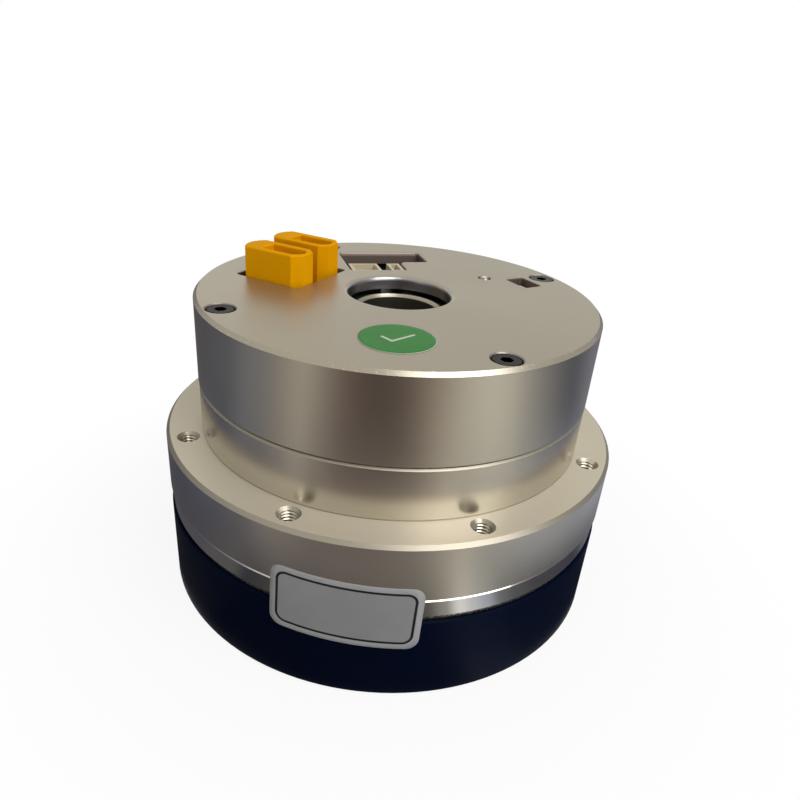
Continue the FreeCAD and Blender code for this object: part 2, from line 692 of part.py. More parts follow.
# Cross-roller output bearing. Its inner race is cut into the output flange.
def make_output_bearing():
    turned_body("bearing_outer_ring", [
        ("outer_ring_inner", "bearing_base"),
        ("bearing_outer", "bearing_base"),
        ("bearing_outer", "bearing_top"),
        ("outer_ring_inner", "bearing_top"),
        ("outer_ring_inner", "bearing_middle + groove_half"),
        ("outer_apex", "bearing_middle"),
        ("outer_ring_inner", "bearing_middle - groove_half"),
    ])
    rollers = []
    for index in range(int(size.roller_count)):
        lean = 45.0 if index % 2 == 0 else -45.0
        roller = Part.makeCylinder(size.roller_radius, size.roller_length,
                                   Vector(0, 0, -size.roller_length / 2))
        roller.rotate(ORIGIN, Vector(0, 1, 0), lean)
        roller.translate(Vector(size.roller_circle, 0, size.bearing_middle))
        roller.rotate(ORIGIN, UP, 360.0 * index / int(size.roller_count))
        rollers.append(roller)
    group("cross_rollers", rollers)


def make_bearing_retainer():
    retainer = turned_body("bearing_retainer", box_points(
        "bearing_outer - retainer_width", "bearing_outer",
        "bearing_top", "bearing_top + retainer_height"))
    cut_outline(retainer, "spanner_notches", "bearing_top + retainer_height", box_points(
        "bearing_outer - retainer_width - 1", "bearing_outer - retainer_width / 2",
        "0 - notch_width / 2", "notch_width / 2"), "notch_depth", "0", "4")


def make_output_seal():
    inner = "output_step_radius + seal_gap"
    turned_body("output_seal", [
        (inner, "output_recess"),
        ("lip_radius - seat_gap", "output_recess"),
        ("lip_radius - seat_gap", "output_recess + seal_height"),
        ("lip_radius - seal_rim", "output_recess + seal_height"),
        ("lip_radius - seal_rim", "output_recess + seal_height / 2"),
        ("lip_radius - seal_rim - seal_slope", "output_recess + seal_height / 2"),
        (inner + " + seal_slope / 2", "output_recess + seal_height"),
        (inner, "output_recess + seal_height * 0.8"),
    ])


def make_output_flange():
    flange = turned_body("output_flange", [
        ("tube_outer + seat_gap", "output_recess"),
        ("output_step_radius - fine_chamfer", "output_recess"),
        ("output_step_radius", "output_recess + fine_chamfer"),
        ("output_step_radius", "bearing_base + 0.2"),
        ("inner_ring_outer", "bearing_base + 0.2"),
        ("inner_ring_outer", "bearing_middle - groove_half"),
        ("inner_apex", "bearing_middle"),
        ("inner_ring_outer", "bearing_middle + groove_half"),
        ("inner_ring_outer", "bearing_top"),
        ("spline_outer + seat_gap", "bearing_top"),
        ("spline_outer + seat_gap", "plate_top"),
        ("tube_outer + seat_gap", "plate_top"),
    ])
    drill(flange, "output_holes", "output_recess", ("output_hole_circle", "0"), "output_hole_radius",
          "output_hole_depth", "0", "output_hole_count", down=False)
    drill(flange, "spline_threads", "plate_top", ("spline_screw_circle", "0"), "screw_radius + seat_gap",
          "spline_screw_grip + seat_gap", "15", "spline_screw_count")


# Strain wave gear. The flexspline is drawn as the wave generator holds it, so a
# point at the angle p lies at radius + wave * cos(2 p) and has slid round by half
# of wave / radius * sin(2 p). The teeth are plain V teeth.
def gear_values():
    pitch = size.spline_radius - size.tooth_height / 2
    wave = pitch * (size.spline_teeth - size.flex_teeth) / size.spline_teeth
    tip = size.spline_radius - size.tooth_gap - wave
    return wave, tip


def oval(radius, wave, height):
    """An oval wire close to radius + wave * cos(2 p)."""
    if abs(wave) < 1e-9:
        return Part.Wire(Part.makeCircle(radius, Vector(0, 0, height)))
    ellipse = Part.Ellipse(Vector(0, 0, height), radius + wave, radius - wave)
    return Part.Wire(ellipse.toShape())


def oval_ring(outer, inner, wave, base, height):
    """A ring between two ovals, or between an oval and a round bore."""
    outside = Part.Face(oval(outer, wave, base)).extrude(Vector(0, 0, height))
    if not isinstance(inner, Part.Shape):
        inner = Part.Face(oval(inner, wave, base)).extrude(Vector(0, 0, height))
    return outside.cut(inner)


def toothed_wire(tip_at, teeth, height):
    """A closed outline with a tip and a root for each tooth."""
    points = []
    for index in range(2 * int(teeth)):
        share = math.pi * index / int(teeth)
        radius, angle = tip_at(share, index % 2 == 0)
        points.append(Vector(radius * math.cos(angle), radius * math.sin(angle), height))
    return Part.makePolygon(points + points[:1])


def make_circular_spline():
    base = size.plate_top

    def at(share, is_root):
        return (size.spline_radius if is_root else size.spline_radius - size.tooth_height), share

    outside = Part.makeCylinder(size.spline_outer, size.spline_height, Vector(0, 0, base))
    teeth = Part.Face(toothed_wire(at, size.spline_teeth, base)).extrude(Vector(0, 0, size.spline_height))
    ring = outside.cut(teeth)
    head = size.spline_height - size.screw_head_height - size.output_recess
    seats = Part.makeCylinder(size.screw_head_radius + 0.05, size.spline_height,
                              Vector(size.spline_screw_circle, 0, base + head))
    holes = Part.makeCylinder(size.screw_radius + size.shank_clearance, size.spline_height,
                              Vector(size.spline_screw_circle, 0, base))
    tool = seats.fuse(holes)
    ring = ring.cut(Part.makeCompound(ring_of(tool, 15, size.spline_screw_count)))
    plain_node("circular_spline", ring)
    place = polar(size.spline_screw_circle, 0, base + head)
    screw = socket_screw(size.screw_head_radius, size.screw_head_height,
                         head + size.spline_screw_grip, size.screw_radius, place)
    group("spline_screws", ring_of(screw, 15, size.spline_screw_count))


def make_flexspline():
    wave, tip = gear_values()
    root = tip - size.tooth_height
    inner = root - size.flex_wall
    base = size.plate_top + 0.5

    def at(share, is_tip):
        radius = (tip if is_tip else root) + wave * math.cos(2 * share)
        return radius, share - wave / (2 * tip) * math.sin(2 * share)

    band = Part.Face(toothed_wire(at, size.flex_teeth, base)).extrude(Vector(0, 0, size.tooth_band))
    band = band.cut(Part.Face(oval(inner, wave, base)).extrude(Vector(0, 0, size.tooth_band)))
    top = base + size.tooth_band
    cup_out = Part.makeLoft([oval(root, wave, top), oval(root, 0, size.disc_base)], True)
    cup_in = Part.makeLoft([oval(inner, wave, top), oval(inner, 0, size.disc_base)], True)
    rim = [
        (inner, size.disc_base),
        (size.lip_radius, size.disc_base),
        (size.lip_radius, size.rim_base),
        (size.ring_radius - size.ring_lip_step, size.rim_base),
        (size.ring_radius - size.ring_lip_step, size.rim_base + size.ring_lip_height),
        (size.ring_radius, size.rim_base + size.ring_lip_height),
        (size.ring_radius, size.flange_base - size.ring_chamfer),
        (size.ring_radius - size.ring_chamfer, size.flange_base),
        (size.lip_radius, size.flange_base),
        (size.lip_radius, size.disc_top),
        (inner, size.disc_top),
    ]
    wire = Part.makePolygon([Vector(r, 0, z) for r, z in rim + rim[:1]])
    hat = Part.Face(wire).revolve(ORIGIN, UP, 360)
    hole = Part.makeCylinder(size.screw_radius + size.shank_clearance, size.ring_height,
                             Vector(size.gear_screw_circle, 0, size.rim_base))
    hat = hat.cut(Part.makeCompound(ring_of(hole, size.gear_screw_angle, size.gear_screw_count)))
    plain_node("flexspline", band.fuse([cup_out.cut(cup_in), hat]))


def make_wave_generator():
    wave, tip = gear_values()
    outer = tip - size.tooth_height - size.flex_wall - size.flex_bearing_gap
    ball_in = outer - size.wave_ring_wall
    ball_circle = ball_in - size.wave_ball_radius - size.seat_gap
    ring_in = ball_circle - size.wave_ball_radius - size.seat_gap
    cam = ring_in - size.wave_ring_wall
    plug_base = size.plate_top + size.wave_lift
    base = plug_base + (size.plug_height - size.wave_height) / 2
    bore = Part.makeCylinder(size.bearing_bore + size.seat_gap, size.plug_height, Vector(0, 0, plug_base))
    plug = oval_ring(cam - size.seat_gap, bore, wave, plug_base, size.plug_height)
    hole = Part.makeCylinder(size.plug_hole_radius, size.plug_height,
                             Vector(size.plug_hole_circle, 0, plug_base))
    plug = plug.cut(Part.makeCompound(ring_of(hole, 0, 4)))
    plain_node("wave_generator_plug", plug)
    plain_node("wave_bearing_inner_ring", oval_ring(ring_in, cam, wave, base, size.wave_height))
    plain_node("wave_bearing_outer_ring", oval_ring(outer, ball_in, wave, base, size.wave_height))
    balls = []
    for index in range(int(size.wave_ball_count)):
        angle = 360.0 * index / int(size.wave_ball_count)
        radius = ball_circle + wave * math.cos(2 * math.radians(angle))
        middle = polar(radius, angle, base + size.wave_height / 2)
        balls.append(Part.makeSphere(size.wave_ball_radius, middle))
    group("wave_bearing_balls", balls)


# Main aluminium housing: mounting flange, neck and motor chamber.
def make_main_housing():
    housing = turned_body("main_housing", [
        ("race_seat", "front_bearing_base"),
        ("bearing_race + boss_wall", "front_bearing_base"),
        ("bearing_race + boss_wall", "flange_base"),
        ("body_radius - fine_chamfer", "flange_base"),
        ("body_radius", "flange_base + fine_chamfer"),
        ("body_radius", "flange_top - edge_chamfer"),
        ("body_radius - edge_chamfer", "flange_top"),
        ("neck_radius", "flange_top"),
        ("neck_radius", "neck_top - fine_chamfer"),
        ("neck_radius - fine_chamfer", "neck_top"),
        ("bracket_radius + seat_gap", "neck_top"),
        ("bracket_radius + seat_gap", "bracket_base"),
        ("stator_outer + seat_gap", "bracket_base"),
        ("stator_outer + seat_gap", "web_top"),
        ("bearing_race - bearing_lip", "web_top"),
        ("bearing_race - bearing_lip", "front_bearing_top"),
        ("race_seat", "front_bearing_top"),
    ])
    drill(housing, "gear_screw_threads", "flange_base", ("gear_screw_circle", "0"),
          "screw_radius + seat_gap", "gear_screw_grip + seat_gap",
          "gear_screw_angle", "gear_screw_count", down=False)
    drill(housing, "cover_screw_threads", "bracket_base", ("cover_screw_circle", "0"),
          "screw_radius + seat_gap", "cover_screw_grip + seat_gap",
          "cover_screw_angle", "cover_screw_count")
    drill(housing, "bracket_screw_threads", "bracket_base", ("bracket_screw_circle", "0"),
          "screw_radius + seat_gap", "cover_screw_grip + seat_gap",
          "cover_screw_angle + bracket_screw_turn", "cover_screw_count")
    drill(housing, "mounting_holes", "flange_top", ("mount_circle", "0"), "mount_hole_radius",
          "mount_hole_depth", "mount_angle", "mount_count")
    cone_mouths(housing, "mounting_mouths", "flange_top", "mount_circle", "mount_angle",
                "mount_sink_radius", "mount_hole_radius", "mount_count")


# Motor: stator with one coil on each tooth, rotor with surface magnets.
def make_stator():
    yoke = size.stator_outer - size.stator_yoke
    shoe = size.stator_inner + size.stator_shoe
    pitch = 360.0 / size.stator_slots
    height = size.stator_stack
    blank = Part.makeCylinder(size.stator_outer, height).cut(Part.makeCylinder(size.stator_inner, height))
    half_tooth = size.stator_tooth / 2
    slots = []
    for index in range(int(size.stator_slots)):
        middle = pitch * (index + 0.5)
        room = Part.makeCylinder(yoke, height, ORIGIN, UP, pitch)
        room = room.cut(Part.makeCylinder(shoe, height))
        room.rotate(ORIGIN, UP, middle - pitch / 2)
        for side in (-0.5, 0.5):
            tooth = Part.makeBox(yoke + 1, 2 * half_tooth, height, Vector(0, -half_tooth, 0))
            tooth.rotate(ORIGIN, UP, middle + side * pitch)
            room = room.cut(tooth)
        mouth = Part.makeBox(shoe + 1, size.slot_opening, height, Vector(0, -size.slot_opening / 2, 0))
        mouth.rotate(ORIGIN, UP, middle)
        slots.append(room.fuse(mouth))
    core = blank.cut(slots)
    core.translate(Vector(0, 0, size.stator_base))
    plain_node("stator_core", core.removeSplitter())
    start = shoe + size.coil_end
    reach = yoke - size.coil_end - start
    wide = half_tooth + size.coil_gap
    coil = Part.makeBox(reach, 2 * (wide + size.coil_wall), height + 2 * (size.coil_gap + size.coil_wall),
                        Vector(start, -wide - size.coil_wall, -size.coil_gap - size.coil_wall))
    coil = coil.makeFillet(size.coil_wall * 0.7, [
        edge for edge in coil.Edges
        if abs(edge.tangentAt(edge.FirstParameter).x) > 0.9])
    window = Part.makeBox(reach, 2 * wide, height + 2 * size.coil_gap, Vector(start, -wide, -size.coil_gap))
    coil = coil.cut(window)
    coil.translate(Vector(0, 0, size.stator_base))
    group("stator_coils", ring_of(coil, 0, size.stator_slots))


def make_rotor():
    middle = "(stator_base + stator_top) / 2"
    turned_body("motor_shaft", [
        ("shaft_bore", "shaft_start"),
        ("bearing_bore - fine_chamfer", "shaft_start"),
        ("bearing_bore", "shaft_start + fine_chamfer"),
        ("bearing_bore", "front_bearing_top"),
        ("shaft_shoulder", "front_bearing_top"),
        ("shaft_shoulder", middle + " - hub_height / 2"),
        ("rotor_ring_inner - seat_gap", middle + " - hub_height / 2"),
        ("rotor_ring_inner - seat_gap", middle + " + hub_height / 2"),
        ("shaft_shoulder", middle + " + hub_height / 2"),
        ("shaft_shoulder", "rear_bearing_base"),
        ("bearing_bore", "rear_bearing_base"),
        ("bearing_bore", "shaft_top"),
        ("shaft_bore", "shaft_top"),
    ])
    base = "stator_base - rotor_overhang"
    height = "stator_stack + rotor_overhang * 2"
    plain_ring("rotor_back_iron", "rotor_ring_outer", "rotor_ring_inner", base, height)
    low = size.stator_base - size.rotor_overhang + 0.2
    tall = size.stator_stack + 2 * size.rotor_overhang - 0.4
    pitch = 360.0 / size.magnet_count
    magnet = Part.makeCylinder(size.magnet_outer, tall, Vector(0, 0, low), UP, pitch * size.magnet_share)
    magnet = magnet.cut(Part.makeCylinder(size.rotor_ring_outer + size.seat_gap, tall, Vector(0, 0, low)))
    group("rotor_magnets", ring_of(magnet, -pitch * size.magnet_share / 2, size.magnet_count))


def make_ball_bearing(prefix, base):
    """A thin deep-groove bearing: two grooved rings and a ring of balls."""
    circle = "(bearing_bore + bearing_race) / 2"
    groove = (circle, "ball_radius + run_gap")
    plain_ring(prefix + "_inner_ring", "bearing_bore + seat_gap + race_wall", "bearing_bore + seat_gap",
               base, "bearing_width", groove)
    plain_ring(prefix + "_outer_ring", "bearing_race", "bearing_race - race_wall",
               base, "bearing_width", groove)
    centre = polar(number(circle), 0, number(base) + size.bearing_width / 2)
    group(prefix + "_balls", ring_of(Part.makeSphere(size.ball_radius, centre), 0, size.ball_count))


def make_bearing_bracket():
    bracket = turned_body("bearing_bracket", [
        ("bearing_race - bearing_lip", "bracket_base"),
        ("bracket_radius", "bracket_base"),
        ("bracket_radius", "neck_top"),
        ("bearing_race + boss_wall", "neck_top"),
        ("bearing_race + boss_wall", "rear_bearing_top"),
        ("race_seat", "rear_bearing_top"),
        ("race_seat", "rear_bearing_base"),
        ("bearing_race - bearing_lip", "rear_bearing_base"),
    ])
    drill(bracket, "cover_screw_holes", "neck_top", ("cover_screw_circle", "0"),
          "screw_radius + shank_clearance", "bracket_seat_depth",
          "cover_screw_angle", "cover_screw_count")
    turn = "cover_screw_angle + bracket_screw_turn"
    place = ("bracket_screw_circle", "0")
    drill(bracket, "bracket_head_seats", "neck_top", place, "low_head_radius + head_clearance",
          "low_head_height + head_room", turn, "cover_screw_count")
    drill(bracket, "bracket_screw_holes", "neck_top", place, "screw_radius + shank_clearance",
          "bracket_seat_depth", turn, "cover_screw_count")
    for index in range(3):
        drill(bracket, "lead_hole_%d" % (index + 1), "neck_top", ("lead_circle", "0"),
              "lead_radius + shank_clearance", "bracket_seat_depth",
              "lead_first_angle + lead_step * %d" % index)
    head = polar(size.bracket_screw_circle, 0, size.neck_top - size.low_head_height - size.head_room)
    length = size.bracket_seat_depth - size.low_head_height - size.head_room + size.cover_screw_grip
    screw = socket_screw(size.low_head_radius, size.low_head_height, length, size.screw_radius, head)
    group("bracket_screws", ring_of(screw, size.cover_screw_angle + size.bracket_screw_turn,
                                    size.cover_screw_count))


# Rear cover with its openings, gasket and screws.
POWER_CORNERS = box_points(
    "plug_along - (plug_length + plug_stagger) / 2 - plug_end_bulge - cutout_end_room",
    "plug_along + (plug_length + plug_stagger) / 2 + cutout_end_room",
    "plug_across - plug_pitch / 2 - plug_width / 2 - cutout_room",
    "plug_across + plug_pitch / 2 + plug_width / 2 + cutout_room")
SLOT_STEP = ("slot_step", "slot_middle")
SLOT_CORNERS = [
    ("slot_left", "slot_near"),
    ("slot_step", "slot_near"),
    SLOT_STEP,
    ("slot_right", "slot_middle"),
    ("slot_right", "slot_far"),
    ("slot_left", "slot_far"),
]


def service_corners(room):
    """The service opening, or the header inside it, in the opening's own direction."""
    along = "(service_x * cos(service_angle) + service_y * sin(service_angle))"
    across = "(service_y * cos(service_angle) - service_x * sin(service_angle))"
    return box_points(
        along + " - service_length / 2 + " + room, along + " + service_length / 2 - " + room,
        across + " - service_width / 2 + " + room, across + " + service_width / 2 - " + room)


def make_rear_cover():
    cover = turned_body("rear_cover", [
        ("cover_bore", "plate_base"),
        ("cover_inner", "plate_base"),
        ("cover_inner", "cover_base"),
        ("cover_radius - fine_chamfer", "cover_base"),
        ("cover_radius", "cover_base + fine_chamfer"),
        ("cover_radius", "cover_top - cover_chamfer"),
        ("cover_radius - cover_chamfer", "cover_top"),
        ("cover_bore", "cover_top"),
    ])
    pillar = new_sketch(cover, "screw_pillar_place", "XY_Plane", "cover_base", "cover_screw_angle")
    pillar.addGeometry(Part.Circle(Vector(size.cover_screw_circle, 0, 0), UP, size.cover_boss_radius), False)
    pin_point(pillar, 0, 3, "cover_screw_circle", "0")
    row = pillar.addConstraint(Sketcher.Constraint("Radius", 0, size.cover_boss_radius))
    pillar.setExpression("Constraints[%d]" % row, bound("cover_boss_radius"))
    pad = cover.newObject("PartDesign::Pad", "screw_pillar")
    pad.Profile = pillar
    pad.setExpression("Length", bound("cover_height - cover_plate / 2"))
    doc.recompute()
    repeat(cover, "screw_pillars", [pad], "cover_screw_count", pillar)
    place = ("cover_screw_circle", "0")
    seat = "screw_head_radius + head_clearance"
    drill(cover, "cover_head_seats", "cover_top", place, seat,
          "cover_head_depth", "cover_screw_angle", "cover_screw_count")
    cone_mouths(cover, "cover_seat_mouths", "cover_top", "cover_screw_circle", "cover_screw_angle",
                seat + " + seat_chamfer", seat, "cover_screw_count")
    drill(cover, "cover_screw_bores", "cover_top", place, "screw_radius + shank_clearance",
          "cover_height", "cover_screw_angle", "cover_screw_count")
    depth = "cover_plate + 1"
    drill(cover, "light_opening", "cover_top", ("light_x", "light_y"), "light_radius", depth)
    openings = [
        ("power_opening", POWER_CORNERS, "plug_angle", "small_rim_round"),
        ("service_opening", service_corners("0"), "service_angle", "small_rim_round"),
        ("signal_opening", SLOT_CORNERS, "slot_angle", "rim_round"),
    ]
    for name, corners, turn, rim in openings:
        pocket = cut_outline(cover, name, "cover_top", corners, depth, turn)
        inner = [corner for corner in corners if corner != SLOT_STEP]
        rounded = round_corners(cover, name + "_corners", pocket, inner, turn, "slot_round")
        if SLOT_STEP in corners:
            round_corners(cover, name + "_step", rounded, [SLOT_STEP], turn, "step_round")
        round_rims(cover, name + "_rim", "cover_top", rim, rim_of(corners, turn))
    round_rims(cover, "light_rim", "cover_top", "small_rim_round", lambda x, y: math.hypot(
        x - size.light_x, y - size.light_y) < 2 * size.light_radius)
    round_rims(cover, "bore_rim", "cover_top", "rim_round",
               lambda x, y: math.hypot(x, y) < size.cover_bore + size.seat_gap)


def make_cover_fixings():
    plain_ring("cover_gasket", "neck_radius - fine_chamfer - gasket_room",
               "bracket_radius + gasket_room", "neck_top", "gasket_height")
    seat = size.cover_top - size.cover_head_depth
    length = seat - size.bracket_base + size.cover_screw_grip
    screw = socket_screw(size.screw_head_radius, size.screw_head_height, length, size.screw_radius,
                         polar(size.cover_screw_circle, 0, seat))
    group("cover_screws", ring_of(screw, size.cover_screw_angle, size.cover_screw_count))


def make_centre_tube():
    tube = turned_body("centre_tube", [
        ("tube_bore", "output_recess"),
        ("tube_outer", "output_recess"),
        ("tube_outer", "tube_top"),
        ("tube_bore + tube_chamfer", "tube_top"),
        ("tube_bore", "tube_top - tube_chamfer"),
    ])
    raise_outline(tube, "rim_lug", "tube_top - key_height", box_points(
        "tube_outer - tube_wall / 4", "key_reach", "0 - key_width / 2", "key_width / 2"),
        "key_height", "key_angle")


# Electronics: encoder rings, two boards, their pillars and the parts on them.
def post_angles():
    return [size.post_first_angle + size.post_step * index for index in range(int(size.post_count))]


def make_board(label, base):
    board = turned_body(label, box_points("board_bore", "board_radius", base, base + " + board_thickness"))
    for index in range(int(size.post_count)):
        turn = "post_first_angle + post_step * %d" % index
        drill(board, "%s_post_hole_%d" % (label, index + 1), base, ("post_circle", "0"),
              "screw_radius + shank_clearance", "board_thickness", turn, down=False)
    return board


def make_boards():
    encoder = make_board("encoder_board", "encoder_base")
    for index in range(3):
        drill(encoder, "board_lead_hole_%d" % (index + 1), "encoder_base", ("lead_circle", "0"),
              "lead_radius + shank_clearance", "board_thickness",
              "lead_first_angle + lead_step * %d" % index, down=False)
    make_board("driver_board", "driver_base")
    plain_ring("motor_encoder_ring", "encoder_ring_outer", "bearing_bore + seat_gap",
               "motor_ring_base", "encoder_ring_height")
    plain_ring("output_encoder_ring", "output_ring_outer", "tube_outer + seat_gap",
               "encoder_top + sensor_height + sensor_gap", "encoder_ring_height")
    posts, spacers, screws = [], [], []
    thread = size.screw_radius + size.seat_gap
    for angle in post_angles():
        foot = polar(size.post_circle, angle, size.neck_top)
        rise = size.encoder_base - size.neck_top
        post = Part.makeCylinder(size.post_radius, rise, foot)
        top = polar(size.post_circle, angle, size.encoder_base - rise * 0.7)
        posts.append(post.cut(Part.makeCylinder(thread, rise, top)))
        foot = polar(size.post_circle, angle, size.encoder_top)
        rise = size.driver_base - size.encoder_top
        spacer = Part.makeCylinder(size.post_radius, rise, foot)
        spacers.append(spacer.cut(Part.makeCylinder(size.screw_radius + size.shank_clearance, rise, foot)))
        length = size.driver_top - size.encoder_base + 2.5
        screws.append(socket_screw(size.low_head_radius, size.board_room - 0.2, length, size.screw_radius,
                                   polar(size.post_circle, angle, size.driver_top)))
    group("board_pillars", posts)
    group("board_spacers", spacers)
    group("board_screws", screws)


def flat_chip(long_side, wide_side, height, radius, angle, base, below=False):
    """A chip that lies on a board, or hangs below it, with its long side along the radius."""
    low = base - height if below else base
    chip = Part.makeBox(long_side, wide_side, height, Vector(radius - long_side / 2, -wide_side / 2, low))
    chip.rotate(ORIGIN, UP, angle)
    return chip


# Chips: long side, wide side, height, distance from the axis, angle.
OUTPUT_SENSOR = (3.0, 3.0, 0.7, 11.2, 20.0)
ROTOR_SENSOR = (3.0, 3.0, 0.7, 9.4, -100.0)
POWER_STAGES = [(5.0, 4.2, 0.9, 14.5, 150.0 + 30.0 * step) for step in range(6)]
CONTROLLERS = [(6.0, 6.0, 0.8, 15.0, -45.0), (4.0, 4.0, 0.8, 12.5, -88.0)]
CAPACITORS = [(2.0, 1.3, 0.7, 19.5, -70.0 + 9.0 * step) for step in range(8)]
BOARD_HEADER = (2.6, 9.0, 19.0, -45.0)


def make_chips():
    group("position_sensors", [
        flat_chip(*OUTPUT_SENSOR, size.encoder_base, below=True),
        flat_chip(*ROTOR_SENSOR, size.encoder_top),
    ])
    chips = [flat_chip(*place, size.driver_base, below=True) for place in POWER_STAGES]
    chips += [flat_chip(*place, size.driver_top) for place in CONTROLLERS + CAPACITORS]
    group("driver_chips", chips)
    long_side, wide_side, radius, angle = BOARD_HEADER
    gap = size.driver_base - size.encoder_top
    plain_node("board_header", flat_chip(long_side, wide_side, gap, radius, angle, size.encoder_top))
    leads = []
    low = size.stator_top + size.coil_gap + size.coil_wall
    for index in range(3):
        foot = polar(size.lead_circle, size.lead_first_angle + size.lead_step * index, low)
        leads.append(Part.makeCylinder(size.lead_radius, size.driver_base - low, foot))
    group("motor_leads", leads)


def turned_shape(shape, angle):
    """The shape turned from an opening's own direction into place."""
    shape.rotate(ORIGIN, UP, angle)
    return shape


def plug_outline(along, across):
    """Outline of a power connector: a bowed end, and a straight end with cut corners."""
    left, right = along - size.plug_length / 2, along + size.plug_length / 2
    low, high = across - size.plug_width / 2, across + size.plug_width / 2
    z = size.driver_top
    corners = [
        Vector(left, low, z),
        Vector(right - size.plug_bevel, low, z),
        Vector(right, low + size.plug_bevel, z),
        Vector(right, high - size.plug_bevel, z),
        Vector(right - size.plug_bevel, high, z),
        Vector(left, high, z),
    ]
    edges = [Part.LineSegment(start, end) for start, end in zip(corners, corners[1:])]
    edges.append(Part.Arc(corners[-1], Vector(left - size.plug_end_bulge, across, z), corners[0]))
    return Part.Wire([edge.toShape() for edge in edges])


def plug_recess(start, across, low):
    """The recess of a power connector, with a half oval at its straight end."""
    half = size.recess_width / 2
    middle = Vector(start + size.recess_length - size.recess_bow, across, low)
    tip = middle + Vector(size.recess_bow, 0, 0)
    bow = Part.ArcOfEllipse(Part.Ellipse(middle + Vector(0, half, 0), tip, middle), 0, math.pi)
    corners = [
        bow.StartPoint,
        Vector(start, across + half, low),
        Vector(start, across - half, low),
        bow.EndPoint,
    ]
    edges = [Part.LineSegment(first, last).toShape() for first, last in zip(corners, corners[1:])]
    outline = Part.Wire(Part.sortEdges(edges + [bow.toShape()])[0])
    return Part.Face(outline).extrude(Vector(0, 0, size.plug_top - size.driver_top))


def make_power_connectors():
    pins = []
    for label, side in (("power_connector_front", -0.5), ("power_connector_back", 0.5)):
        along = size.plug_along - side * size.plug_stagger
        across = size.plug_across + side * size.plug_pitch
        body = Part.Face(plug_outline(along, across)).extrude(Vector(0, 0, size.plug_top - size.driver_top))
        start = along + size.recess_shift - size.recess_length / 2
        low = size.driver_top + size.recess_floor
        body = body.cut(plug_recess(start, across, low))
        body = body.makeFillet(size.plug_edge, [
            edge for edge in body.Edges
            if all(abs(vertex.Point.z - size.plug_top) < 1e-4 for vertex in edge.Vertexes)])
        reach = size.plug_top - size.pin_drop - low
        for half in (-0.5, 0.5):
            middle = start + size.recess_length / 2 + half * size.pin_pitch
            pins.append(turned_shape(Part.makeCylinder(size.pin_radius, reach, Vector(middle, across, low)),
                                     size.plug_angle))
        plain_node(label, turned_shape(body, size.plug_angle))
    group("power_contacts", pins)


def make_signal_connector(label, left, right):
    base = size.driver_top
    height = size.cover_top - size.signal_drop - base
    low = size.slot_near + size.cutout_room
    body = Part.makeBox(right - left, size.signal_depth, height, Vector(left, low, base))
    wall = size.signal_wall
    mouth = Part.makeBox(right - left - 2 * wall, size.signal_depth - 2 * wall, height,
                         Vector(left + wall, low + wall, base + wall))
    plain_node(label, turned_shape(body.cut(mouth), size.slot_angle))


def make_small_fittings():
    make_signal_connector("signal_connector_wide", size.wide_left, size.wide_right)
    make_signal_connector("signal_connector_narrow", size.narrow_left, size.narrow_right)
    corners = service_corners("service_room")
    left, near = number(corners[0][0]), number(corners[0][1])
    right, far = number(corners[2][0]), number(corners[2][1])
    height = size.cover_top - size.service_drop - size.driver_top
    wall = size.service_wall
    header = Part.makeBox(right - left, far - near, height, Vector(left, near, size.driver_top))
    mouth = Part.makeBox(right - left - 2 * wall, far - near - 2 * wall, height,
                         Vector(left + wall, near + wall, size.driver_top + wall))
    plain_node("service_header", turned_shape(header.cut(mouth), size.service_angle))
    dome_radius = size.light_radius - size.light_room
    dome_middle = size.cover_top + size.light_stand - dome_radius
    foot = Vector(size.light_x, size.light_y, size.driver_top)
    stem = Part.makeCylinder(dome_radius, dome_middle - size.driver_top, foot)
    dome = Part.makeSphere(dome_radius, Vector(size.light_x, size.light_y, dome_middle))
    plain_node("status_light", stem.fuse(dome))


make_gear_housing()
make_gear_screws()
make_output_bearing()
make_bearing_retainer()
make_output_seal()
make_output_flange()
make_circular_spline()
make_flexspline()
make_wave_generator()
make_main_housing()
make_stator()
make_rotor()
make_ball_bearing("front_bearing", "front_bearing_base")
make_ball_bearing("rear_bearing", "rear_bearing_base")
make_bearing_bracket()
make_rear_cover()
make_cover_fixings()
make_centre_tube()
make_boards()
make_chips()
make_power_connectors()
make_small_fittings()

doc.recompute()
for item in doc.Objects:
    if "Invalid" in item.State or "Error" in item.State:
        raise RuntimeError("failed object: " + item.Name)
for node in nodes:
    if node.Shape.isNull() or not node.Shape.isValid() or not node.Shape.Solids:
        raise RuntimeError("bad shape: " + node.Label)
os.makedirs("parts", exist_ok=True)
for node in nodes:
    node.Shape.exportStep(os.path.join("parts", node.Label + ".step"))
print("%d nodes" % len(nodes))
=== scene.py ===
# Looks of a hollow-shaft robot joint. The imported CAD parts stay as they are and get
# finishes; a side label, a round sticker and the ridges of the threads are added.
# Lengths are in metres, and in millimetres in the materials and on the flat films.
import json
import math
import bpy
import numpy as np
from mathutils import Matrix, Vector


